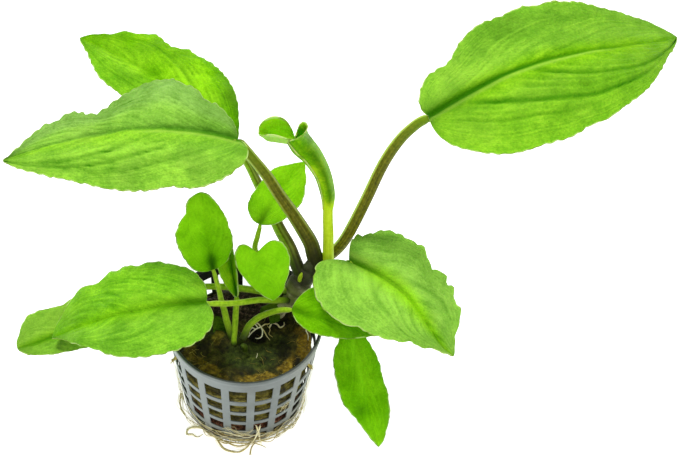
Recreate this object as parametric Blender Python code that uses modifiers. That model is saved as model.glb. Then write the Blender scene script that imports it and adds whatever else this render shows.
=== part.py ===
"""Potted lagenandra: a marsh plant growing on a wool plug in a slotted net pot.

Sizes are written in millimetres and turned into metres by MM. The origin is the middle of the
pot's underside, +Z is up, +X is to the right and -Y is towards the viewer of the photo.
"""
import math

import bmesh
import bpy
from mathutils import Matrix, Vector

MM = 0.001
GAP = 0.3            # left between pieces that touch
WELD = 0.0001        # merge distance in metres

# Net pot
POT_HEIGHT = 46.0
MOUTH_RADIUS = 27.4
FOOT_RADIUS = 21.9
WALL = 1.2
COLUMNS = 18         # windows round the pot
RIB_WIDTH = 3.0      # of the upright ribs between the windows
COLUMN_TURN = 1.1    # degrees that the first column stands off the front
WINDOW_ROWS = ((39.9, 31.8), (29.3, 24.0), (21.8, 16.5), (14.3, 9.3), (6.6, 3.2))
SLOT_OUTER = 18.5    # radii of the slots in the bottom
SLOT_INNER = 9.5

# Wool plug
PLUG_TOP = 34.0
PLUG_BOTTOM = WALL + GAP
PLUG_SIDES = 36

BLADE_THICKNESS = 0.8
YOUNG_THICKNESS = 0.6
LARGE_BLADE = 40.0   # blades longer than this get a finer grid

# Leaf blades. base and tip are the ends of the midrib. Pairs are (left, right) as seen looking
# from the base to the tip with the upper side up. width is the half width, full and sharp shape
# the outline towards the base and the tip, lobe draws the base back past the stalk, fold lifts
# the half in degrees, curl rolls its margin down, and bow and sway bend the midrib up and right.
BLADES = {
    "blade_upper_right": dict(
        base=(56, 37, 118), tip=(141, 82, 122), roll=-1, width=(21.2, 29.8), full=(0.73, 0.59),
        sharp=(0.83, 0.94), lobe=(0.17, 0.09), bow=0.11, sway=0.02, fold=(-1, 5), curl=(-0.3, 0.15)),
    "blade_upper_left": dict(
        base=(-6.4, 31.7, 104), tip=(-87.7, 30.3, 84), roll=-1, width=(22, 20.7), full=(0.58, 0.5),
        sharp=(0.83, 1.12), lobe=(0.22, 0), bow=0.01, sway=0.09, fold=(8, 27), curl=(0.42, 0.29),
        ripple=(0.01, -0.3), phase=0.4, waves=2),
    "blade_upper_left_back": dict(
        base=(-8.5, 45.1, 86), tip=(-71, 87.8, 90), roll=4, width=(18.7, 19.4), full=(0.55, 0.75),
        sharp=(0.88, 0.87), lobe=(0.12, 0), bow=0.01, sway=0.06, fold=(10, 12), curl=(0.07, 0.27)),
    "blade_behind_stalks": dict(
        base=(1.8, 28.4, 64.6), tip=(15.5, 50.9, 74.6), roll=6, width=(9.4, 9.9), full=(0.57, 0.6),
        sharp=(0.87, 0.86), lobe=(0.11, 0), bow=0.06, fold=(8, 9), curl=(0.08, 0.12)),
    "blade_small_heart": dict(
        base=(2.8, 9.7, 72), tip=(9.2, 3.2, 54), roll=-24, width=(10.7, 7.5), full=(0.52, 0.5),
        sharp=(0.81, 1.21), lobe=(0.42, 0.52), bow=0.03, sway=0.04, fold=(8, 2), curl=(0.14, 0.15)),
    "blade_small_upright": dict(
        base=(-12, 6.8, 64), tip=(-17.8, 19.1, 90), roll=3, width=(10.1, 8.7), full=(0.57, 0.56),
        sharp=(0.69, 0.78), lobe=(0.09, 0.02), bow=0.05, sway=-0.01, fold=(6, 7), curl=(0.12, 0.08)),
    "blade_lower_left": dict(
        base=(-13.2, -2.7, 58), tip=(-65.5, -14.2, 44), roll=2, width=(19.4, 19.4),
        full=(0.68, 0.57), sharp=(1.13, 0.7), lobe=(0.22, 0.13), bow=0.12, sway=-0.03,
        fold=(13, 10), curl=(0.26, 0.16)),
    "blade_lower_left_back": dict(
        base=(-44.4, 1.7, 46), tip=(-79, -12.9, 34), roll=5, width=(9.5, 11.2), full=(0.51, 0.67),
        sharp=(0.74, 0.5), lobe=(0.16, 0.09), bow=0.05, sway=-0.07, fold=(9, 12), curl=(0.11, 0.03)),
    "blade_lower_right": dict(
        base=(34.5, 17.6, 62), tip=(73.1, -12.1, 52), roll=-7, width=(20.8, 22.4),
        full=(0.7, 0.7), sharp=(0.85, 1.3), lobe=(0.47, 0.45), bow=-0.01, sway=-0.02,
        fold=(13, 30), curl=(0.08, 0.5)),
    "blade_middle_right": dict(
        base=(16.2, 0.5, 54), tip=(46.7, -0.6, 44), roll=-9, width=(12.6, 6.9), full=(0.6, 0.54),
        sharp=(0.91, 1.08), bow=0.04, sway=0.02, fold=(11, 9), curl=(0.06, 0.11)),
    "blade_hanging": dict(
        base=(37.7, 8.9, 38), tip=(51.1, -26.1, 12), roll=5, width=(7.4, 10.3), full=(0.69, 0.66),
        sharp=(0.65, 1.03), bow=0.05, sway=0.02, fold=(8, 8), curl=(0.05, 0.16)),
    "blade_folded_young": dict(
        base=(-3.5, 4.9, 51.8), tip=(-9.2, 20, 68), roll=0, width=(6.6, 2.6), full=(0.8, 0.7),
        sharp=(0.6, 0.6), fold=(35, 55), young=True),
}

# Leaf stalks: the route from the root stock to the blade and the radius at each end.
STALKS = {
    "stalk_upper_right": dict(
        route=((24.3, 23.2, 53.4), (27.8, 24.8, 55.8), (31.1, 25.6, 60.6), (34.1, 27.2, 67.7),
               (38.4, 30.9, 80.2), (43, 35, 94.7), (47.6, 37.2, 105), (52.1, 37.2, 112.8),
               (55, 36.9, 116.3)),
        radius=(2.1, 2.1, 1.9, 1.6)),
    "stalk_upper_left": dict(
        route=((22, 21.4, 59.2), (20.5, 23.6, 62.6), (17.5, 25.2, 67.5), (13.5, 26.8, 73.7),
               (8.6, 27.8, 81.8), (3.7, 29.6, 89.5), (-1.4, 30.8, 96.5), (-5.4, 31.7, 102)),
        radius=(2.65, 2.15, 1.7)),
    "stalk_upper_left_back": dict(
        route=((15.6, 20.6, 55.2), (12.8, 26, 57), (8.6, 32.2, 58.8), (4.3, 39.8, 61.6),
               (-0.3, 45, 66.8), (-4, 46.2, 75.2), (-7.2, 45.1, 83.3)),
        radius=(2.2, 1.5)),
    "stalk_behind_stalks": dict(
        route=((10.8, 14.6, 46.3), (7.4, 14.8, 50.2), (4, 17.4, 54.7), (1, 22, 58.1),
               (1.4, 25.2, 61), (1.9, 27.5, 63.1)),
        radius=(1.1, 0.9)),
    "stalk_small_heart": dict(
        route=((12.1, 12.5, 49), (10.2, 12.2, 52.6), (7.4, 11.9, 59), (5, 11.8, 65), (3.4, 11.2, 69.6)),
        radius=(1.1, 0.8)),
    "stalk_small_upright": dict(
        route=((-5.5, -0.4, 39.7), (-6.2, 0.5, 41.2), (-6.8, 1.2, 43.4), (-7.6, 2.5, 46.6),
               (-8.7, 3.3, 51), (-9.7, 4.3, 56), (-11.4, 6.4, 61.8)),
        radius=(1.2, 0.8)),
    "stalk_lower_left": dict(
        route=((12.6, 9.6, 46.4), (8.8, 7.7, 48.3), (4, 5.3, 50.9), (-2, 1.7, 53.3),
               (-6.5, -0.6, 55.1), (-10.2, -2, 56.4), (-12.3, -2.6, 56.8)),
        radius=(1.1, 1)),
    "stalk_lower_left_back": dict(
        route=((9.4, 12.2, 46.4), (4.1, 11.4, 48.2), (-2.5, 11, 49.2), (-10, 10.2, 50.2),
               (-20, 8.2, 50.9), (-30, 5.6, 50.4), (-38, 3.4, 48.4), (-43, 2.1, 45.6)),
        radius=(1.2, 1)),
    "stalk_lower_right": dict(
        route=((26.3, 15.8, 55.2), (28.4, 15.6, 56.8), (30.8, 16.2, 58.8), (33.4, 17.2, 60.2)),
        radius=(1.5, 1.1)),
    "stalk_middle_right": dict(
        route=((0.3, -1.8, 40), (1.4, 0.4, 41.9), (4.4, 2.4, 44.4), (8.2, 2.7, 47.4),
               (12.4, 2, 50.8), (15.2, 1, 52.6)),
        radius=(1.2, 1)),
    "stalk_hanging": dict(
        route=((21.9, 11.4, 48.8), (24.8, 11.2, 50.2), (28.4, 11, 50.6), (32.6, 10.2, 48),
               (35.8, 9.6, 42.6), (37.1, 9.3, 39)),
        radius=(1.3, 1)),
    "stalk_rolled_young": dict(
        route=((27.2, 20.4, 57.8), (26.9, 21.4, 62), (26.4, 22.7, 70), (25.9, 23.4, 76),
               (25.5, 24.4, 83)),
        radius=(1.9, 1.8)),
    "stalk_folded_young": dict(
        route=((-2.8, -0.6, 39.9), (-3.5, 1, 42), (-3.6, 3.2, 46.5), (-3.4, 4.2, 50.3)),
        radius=(1.1, 1)),
}

# The rolled young blade: its axis and its radius at each point.
ROLLED_ROUTE = ((25.5, 24.7, 83.8), (25, 26.2, 87.6), (22.8, 29.2, 93.4), (19, 31.6, 99),
                (15.4, 32.2, 103.4), (13.2, 32.2, 106.2))
ROLLED_RADIUS = (1.9, 2.3, 2.7, 3.3, 3.8, 4.4)
HOOD_ROUTE = ((12, 32, 107.4), (8.6, 32.4, 109.6), (5, 32.4, 109.9), (2.2, 32.2, 108.8))
HOOD_RADIUS = (2.4, 3.9, 3.9, 1.9)

# Creeping stem, from the plug up to the crown.
RHIZOME_ROUTE = ((10.5, 11.5, 39.4), (14, 13.3, 41), (16, 14, 45.5), (18, 15, 50.5),
                 (20.4, 17.2, 54.4), (21.9, 20.1, 57.5))
RHIZOME_RADIUS = (3, 4, 4.1, 4.2, 4.2, 2.6)
BUD_ROUTE = ((16.1, 12.3, 55), (16.3, 12.6, 56.6), (16.7, 13.3, 58))
SIDE_SHOOT_ROUTE = ((-2.9, -1.4, 36.2), (-2.8, -1.3, 37.6), (-2.8, -1.2, 38.3))
STUB_ROUTE = ((0.6, -4.6, 35), (0.4, -5.6, 37.4), (-0.2, -6.4, 39.2))

# Roots on the surface round the foot.
ROOT_RADIUS = 0.55
ROOT_LIFT = 0.62
ROOTS = (
    ((-18.6, -14.6), (-19.8, -18), (-18.2, -21.8), (-14.9, -22.4), (-11.4, -22.6), (-7.6, -24.8),
     (-3.4, -26)),
    ((-12.5, -20.1), (-8.5, -22), (-4, -23.2), (0.5, -23.5), (5.2, -23), (9.6, -21.4), (14, -18.8)),
    ((-1.4, -25.8), (1.2, -27.9), (3.8, -27.2), (6.2, -25.2), (10.4, -23.4), (15, -20.4),
     (19, -16.8)),
    ((17, -15.8), (19.7, -13.1), (21.6, -9.5), (22.9, -5.1), (23.7, -1)),
    ((-24.6, -4), (-23.6, -8.4), (-21.8, -12.6), (-21.4, -15.8)),
)
# Roots that climb the outside of the wall, from the foot towards the upper windows.
WALL_ROOTS = (
    ((22.3, -7.7, 4), (23.2, -6.2, 9), (23.5, -7.6, 15), (24.6, -6.1, 21)),
    ((-21.9, -9.2, 4), (-22.4, -8.1, 7), (-22.3, -9.9, 12), (-23.6, -8.6, 18)),
)

GREEN = (0.24, 0.50, 0.06)
YOUNG_GREEN = (0.36, 0.58, 0.10)
STALK_BROWN = (0.20, 0.20, 0.07)
STALK_GREEN = (0.30, 0.44, 0.09)
POT_GREY = (0.36, 0.42, 0.45)
WOOL_BROWN = (0.16, 0.12, 0.04)
STEM_GREY = (0.13, 0.12, 0.09)
ROOT_CREAM = (0.62, 0.54, 0.34)


def clear_scene():
    """Remove every object, so the script can run in an open file."""
    for old in list(bpy.data.objects):
        bpy.data.objects.remove(old, do_unlink=True)


def material(name, colour, roughness):
    """A plain Principled material."""
    made = bpy.data.materials.new(name)
    made.use_nodes = True
    shader = made.node_tree.nodes["Principled BSDF"]
    shader.inputs["Base Color"].default_value = (*colour, 1.0)
    shader.inputs["Roughness"].default_value = roughness
    return made


def put(obj, group, colour, roughness):
    """Give an object its own material and a place in the collection."""
    obj.data.materials.append(material(obj.name, colour, roughness))
    for other in list(obj.users_collection):
        other.objects.unlink(obj)
    group.objects.link(obj)
    return obj


def mesh_object(name, bm):
    """Turn a bmesh into a smooth shaded object."""
    bmesh.ops.recalc_face_normals(bm, faces=bm.faces)
    mesh = bpy.data.meshes.new(name)
    bm.to_mesh(mesh)
    bm.free()
    mesh.shade_smooth()
    obj = bpy.data.objects.new(name, mesh)
    bpy.context.scene.collection.objects.link(obj)
    return obj


def thicken(obj, thickness, offset):
    """Turn an open surface into a shell."""
    shell = obj.modifiers.new("shell", "SOLIDIFY")
    shell.thickness = thickness * MM
    shell.offset = offset
    shell.use_even_offset = True
    shell.use_rim = True
    return shell


def smooth_route(points, per_span):
    """Points along a smooth curve through the given ones, as Vectors."""
    ends = [2 * Vector(points[0]) - Vector(points[1]), 2 * Vector(points[-1]) - Vector(points[-2])]
    knots = [ends[0]] + [Vector(p) for p in points] + [ends[1]]
    route = []
    for i in range(1, len(knots) - 2):
        a, b, c, d = knots[i - 1:i + 3]
        for step in range(per_span):
            u = step / per_span
            route.append(0.5 * (2 * b + (c - a) * u + (2 * a - 5 * b + 4 * c - d) * u ** 2
                                + (3 * b - a - 3 * c + d) * u ** 3))
    route.append(knots[-2])
    return route


def tube(name, points, radii, per_span=1):
    """A round tube with closed ends. radii holds two end radii, or one for each point."""
    route = smooth_route(points, per_span)
    data = bpy.data.curves.new(name, "CURVE")
    data.dimensions = "3D"
    data.bevel_depth = max(radii) * MM
    data.bevel_resolution = 2
    data.use_fill_caps = True
    line = data.splines.new("POLY")
    line.points.add(len(route) - 1)
    spans = len(radii) - 1
    for i, place in enumerate(route):
        u = i / (len(route) - 1) * spans
        k = min(int(u), spans - 1)
        radius = radii[k] + (radii[k + 1] - radii[k]) * (u - k)
        line.points[i].co = (*(place * MM), 1.0)
        line.points[i].radius = radius / max(radii)
    obj = bpy.data.objects.new(name, data)
    bpy.context.scene.collection.objects.link(obj)
    return obj


def profile(t, full, sharp):
    """Half width of a blade at t from base to tip, 1 at its widest."""
    widest = full / (full + sharp)
    peak = widest ** full * (1 - widest) ** sharp
    return max(t, 0.0) ** full * max(1 - t, 0.0) ** sharp / peak


def blade_frame(base, tip, roll):
    """Length, and the directions along, across and up from a blade."""
    chord = tip - base
    along = chord.normalized()
    across = along.cross(Vector((0, 0, 1))).normalized()
    across = Matrix.Rotation(-math.radians(roll), 3, along) @ across
    return chord.length, along, across, across.cross(along)


def blade(name, base, tip, roll, width, full, sharp, lobe=(0, 0), bow=0.0, sway=0.0, fold=(0, 0),
          curl=(0, 0), ripple=(0, 0), phase=0.0, waves=0, young=False):
    """A leaf blade: a grid bent to the outline, then given its thickness."""
    base = Vector(base)
    length, along, across, up = blade_frame(base, Vector(tip), roll)
    rows = 14 if length > LARGE_BLADE else 10
    cols = 8 if length > LARGE_BLADE else 6
    bm = bmesh.new()
    bmesh.ops.create_grid(bm, x_segments=cols, y_segments=rows, size=1.0)
    for vert in bm.verts:
        v, turn = vert.co.x, math.pi * (vert.co.y + 1) / 2
        side = 0 if v < 0 else 1
        t = (1 - math.cos(turn)) / 2
        reach = profile(t, full[side], sharp[side])
        reach *= 1 + ripple[side] * math.sin(2 * math.pi * waves * t + phase) * math.sin(turn)
        y = width[side] * reach * abs(v)
        x = length * t - lobe[side] * length * reach * (1 - t) ** 2 * abs(v)
        arch = 4 * x / length * (1 - x / length) * length
        tilt = math.radians(fold[side])
        lift = y * math.sin(tilt) - curl[side] * y * y / width[side] + bow * arch
        out = math.copysign(y * math.cos(tilt), v) + sway * arch
        vert.co = (base + along * x + across * out + up * lift) * MM
    bmesh.ops.remove_doubles(bm, verts=bm.verts, dist=WELD)
    obj = mesh_object(name, bm)
    thicken(obj, YOUNG_THICKNESS if young else BLADE_THICKNESS, 0.0)
    return obj


def wall_radius(z):
    """Outer radius of the pot at a height."""
    return FOOT_RADIUS + (MOUTH_RADIUS - FOOT_RADIUS) * z / POT_HEIGHT


def window_half(radius):
    """Half a window's angle in degrees, so that the ribs keep their width up the wall."""
    return 180 / COLUMNS - math.degrees(RIB_WIDTH / 2 / max(radius, FOOT_RADIUS))


def net_pot():
    """The pot: a turned grid without its windows, thickened inwards."""
    rings = [(wall_radius(POT_HEIGHT), POT_HEIGHT)]
    windows = set()
    for top, bottom in WINDOW_ROWS:
        windows.add(len(rings))
        rings += [(wall_radius(top), top), (wall_radius(bottom), bottom)]
    rings.append((FOOT_RADIUS, 0.0))
    windows.add(len(rings))
    rings += [(SLOT_OUTER, 0.0), (SLOT_INNER, 0.0), (SLOT_INNER / 2, 0.0), (0.0, 0.0)]
    bm = bmesh.new()
    strips = 2 * COLUMNS
    bmesh.ops.create_grid(bm, x_segments=strips, y_segments=len(rings) - 1, size=1.0)
    open_faces = []
    for face in bm.faces:
        middle = face.calc_center_median()
        strip = int((middle.x + 1) / 2 * strips)
        row = int((middle.y + 1) / 2 * (len(rings) - 1))
        if strip % 2 == 0 and row in windows:
            open_faces.append(face)
    pitch = 360.0 / COLUMNS
    for vert in bm.verts:
        strip = round((vert.co.x + 1) / 2 * strips)
        radius, height = rings[round((vert.co.y + 1) / 2 * (len(rings) - 1))]
        half = window_half(radius)
        edge = -half if strip % 2 == 0 else half
        angle = math.radians(-90 + COLUMN_TURN + pitch * (strip // 2) + edge)
        vert.co = Vector((radius * math.cos(angle), radius * math.sin(angle), height)) * MM
    bmesh.ops.delete(bm, geom=open_faces, context="FACES")
    bmesh.ops.remove_doubles(bm, verts=bm.verts, dist=WELD)
    obj = mesh_object("net_pot", bm)
    obj.data.set_sharp_from_angle(angle=math.radians(35))
    shell = thicken(obj, WALL, -1.0)
    shell.use_quality_normals = True
    return obj


def plug_lift(x, y):
    """Height of the plug's uneven top above its nominal level."""
    front = 2.6 * math.exp(-((y + 19) / 6) ** 2)
    moss = 3.0 * math.exp(-((x + 9) ** 2 + (y + 2) ** 2) / 30)
    hollow = -2.0 * math.exp(-((x - 4) ** 2 + (y + 4) ** 2) / 22)
    return front + moss + hollow + 0.6 * math.sin(0.5 * x) * math.cos(0.6 * y)


def wool_plug():
    """The plug: a turned solid whose top is uneven."""
    inner = wall_radius(PLUG_BOTTOM) - WALL - 2 * GAP
    upper = wall_radius(PLUG_TOP) - WALL - 2 * GAP
    rings = ((0.0, PLUG_BOTTOM), (inner, PLUG_BOTTOM), (upper, PLUG_TOP - 2), (upper - 1.6, PLUG_TOP),
             (18, PLUG_TOP), (13, PLUG_TOP), (9, PLUG_TOP), (5, PLUG_TOP), (0.0, PLUG_TOP))
    bm = bmesh.new()
    bmesh.ops.create_grid(bm, x_segments=PLUG_SIDES, y_segments=len(rings) - 1, size=1.0)
    for vert in bm.verts:
        radius, height = rings[round((vert.co.y + 1) / 2 * (len(rings) - 1))]
        angle = math.pi * vert.co.x
        x, y = radius * math.cos(angle), radius * math.sin(angle)
        if height == PLUG_TOP:
            height += plug_lift(x, y)
        vert.co = Vector((x, y, height)) * MM
    bmesh.ops.remove_doubles(bm, verts=bm.verts, dist=WELD)
    return mesh_object("wool_plug", bm)


def build():
    """Make every piece in one collection."""
    clear_scene()
    group = bpy.data.collections.new("potted_lagenandra")
    bpy.context.scene.collection.children.link(group)
    put(net_pot(), group, POT_GREY, 0.45)
    put(wool_plug(), group, WOOL_BROWN, 0.95)
    put(tube("rhizome", RHIZOME_ROUTE, RHIZOME_RADIUS, 3), group, STEM_GREY, 0.8)
    put(tube("crown_bud", BUD_ROUTE, (1.2, 1.4, 0.5), 2), group, YOUNG_GREEN, 0.5)
    put(tube("side_shoot", SIDE_SHOOT_ROUTE, (2.6, 2.4, 1.6), 2), group, STALK_GREEN, 0.6)
    put(tube("green_stub", STUB_ROUTE, (1.1, 1.2, 0.8), 2), group, STALK_GREEN, 0.6)
    for name, spec in BLADES.items():
        colour = YOUNG_GREEN if spec.get("young") else GREEN
        put(blade(name, **spec), group, colour, 0.5)
    for name, spec in STALKS.items():
        brown = name.startswith("stalk_upper")
        colour = STALK_BROWN if brown else STALK_GREEN
        put(tube(name, spec["route"], spec["radius"], 2), group, colour, 0.5)
    put(tube("blade_rolled_young", ROLLED_ROUTE, ROLLED_RADIUS, 2), group, YOUNG_GREEN, 0.5)
    put(tube("blade_rolled_hood", HOOD_ROUTE, HOOD_RADIUS, 2), group, YOUNG_GREEN, 0.5)
    root_routes = [[(x, y, ROOT_LIFT) for x, y in route] for route in ROOTS]
    for number, route in enumerate(root_routes + list(WALL_ROOTS), 1):
        put(tube(f"root_{number}", route, (ROOT_RADIUS, ROOT_RADIUS), 2), group, ROOT_CREAM, 0.7)


build()
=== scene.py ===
"""Potted lagenandra: the looks of a marsh plant growing on a wool plug in a net pot.

Places and sizes are in millimetres and turned into metres by MM. The frame is the CAD's: the
origin is the middle of the pot's underside, +Z is up, and the photo looks along +Y.
"""

import math

import bpy
import numpy as np
from mathutils import Matrix, Vector


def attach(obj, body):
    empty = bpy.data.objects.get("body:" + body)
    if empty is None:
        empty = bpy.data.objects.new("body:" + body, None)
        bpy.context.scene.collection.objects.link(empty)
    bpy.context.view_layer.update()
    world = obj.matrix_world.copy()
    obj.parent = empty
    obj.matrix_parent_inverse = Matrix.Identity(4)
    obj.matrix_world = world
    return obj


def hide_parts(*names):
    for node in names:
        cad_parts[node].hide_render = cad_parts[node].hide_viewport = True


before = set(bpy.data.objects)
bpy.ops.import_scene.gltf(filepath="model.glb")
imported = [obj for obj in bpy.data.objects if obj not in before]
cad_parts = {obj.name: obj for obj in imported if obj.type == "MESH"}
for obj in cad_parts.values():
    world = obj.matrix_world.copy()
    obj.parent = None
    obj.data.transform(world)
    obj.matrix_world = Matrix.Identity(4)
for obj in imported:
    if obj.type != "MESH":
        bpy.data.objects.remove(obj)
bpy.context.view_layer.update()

MM = 0.001

# Camera of the photo: its place in metres, its tilt and roll in degrees, its lens in mm.
CAMERA_PLACE = (0.03031, -0.31226, 0.4769)
CAMERA_DOWN = 50.3
CAMERA_ROLL = 5.19
CAMERA_LENS = 80.0
FLOOR_HALF = 6.0     # metres from the middle of the floor to its edge
DOWN = math.radians(CAMERA_DOWN)
TO_CAMERA = np.array((0.0, -math.cos(DOWN), math.sin(DOWN)))
# Soft lamps: name, place and size in metres, watts. Both look at LAMP_AIM.
LAMPS = (("key", (-0.3, 0.3, 0.95), 0.3, 7.5), ("fill", (0.5, -0.6, 0.6), 0.6, 2.0))
LAMP_AIM = (0.02, 0.03, 0.08)

# How finely round things are cut, in sides
PLUG_SIDES = 220
RIM_SIDES = 144
STEM_SIDES = 28
STALK_SIDES = 20
SHOOT_SIDES = 16
ROOT_SIDES = 8
ROOTLET_SIDES = 6
HAIR_SIDES = 4

# Net pot
POT_HEIGHT = 46.0
MOUTH_RADIUS = 27.4
FOOT_RADIUS = 21.9
WALL = 1.2
SHELL = 0.5          # the net itself is thinner than the rim
COLUMNS = 18
RIB_WIDTH = 2.85
COLUMN_TURN = 1.1
WINDOW_ROWS = ((39.9, 31.8), (29.3, 24.0), (21.8, 16.5), (14.3, 9.3), (6.6, 3.2))
SLOT_RADII = (18.5, 9.5)
WINDOW_STEPS = 4     # facets across a window
RIB_STEPS = 3        # facets across the rib beside it

# Wool plug
PLUG_TOP = 34.0
PLUG_BOTTOM = 1.5
PLUG_GAP = 0.6
# Lumps and hollows of the plug's top: x, y, half widths along X and Y, height.
PLUG_LUMPS = ((0, -19, 40, 6, 2.4), (-9, -1, 5, 5, 2.6), (4, 2.6, 3.6, 4, -3.2), (-3, -0.5, 2.5, 2.5, 3.2),
              (1.4, -3.6, 2.2, 1.4, 1.6), (22, 0, 4, 9, 1.6), (9.5, 11, 5, 3, -1.5))
# Coloured patches of the plug's top: x, y, half widths, turn in degrees, strength.
PLUG_PATCHES = {
    "grit": ((-4, 14, 16, 6, 0, 1), (12, 16, 6, 4, 0, 0.8)),
    "algae": ((3, -7.5, 10, 6.5, 10, 1), (-9.5, 2.5, 4, 6, 0, 1), (11.5, -1, 5, 5, 0, 0.7)),
    "ochre": ((22.5, 0.5, 3.4, 7.5, -8, 1), (16.3, -10.2, 2, 5, -15, 0.8), (7.5, -17.5, 8, 2.6, 10, 0.6),
              (-11, -14.5, 7, 2.2, -35, 0.65), (-18.5, -7.5, 2.5, 4, 10, 0.35), (-9.5, -1.6, 2, 2.4, 0, 0.4),
              (20, 6, 3, 2.2, 0, 0.6)),
    "mud": ((4, 3, 3.6, 3.8, 0, 0.95), (-3.2, -0.9, 3, 2.4, 0, 0.75), (10.5, 8.6, 4.5, 2.4, 10, 0.9),
            (14.2, -2.5, 2.2, 4, 20, 0.7), (-13.5, -6.5, 3, 2.2, 30, 0.6), (0.5, -14, 4, 2.6, 0, 0.55),
            (19.5, -9, 1.6, 2.6, 0, 0.8)),
}

# Leaf tissue
BLADE_HALF = 0.3     # half the thickness of a blade
CELL = 0.75          # size of a blade's mesh cells
VEIN_ARCH = 2.0      # how steeply side veins leave the midrib
VEIN_REACH = 0.95    # share of the half width where side veins would run parallel to the margin
VEIN_SPACING = 8.5   # along the midrib, between side veins
FULL_LENGTH = 60.0   # blades shorter than this have shallower relief

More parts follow.
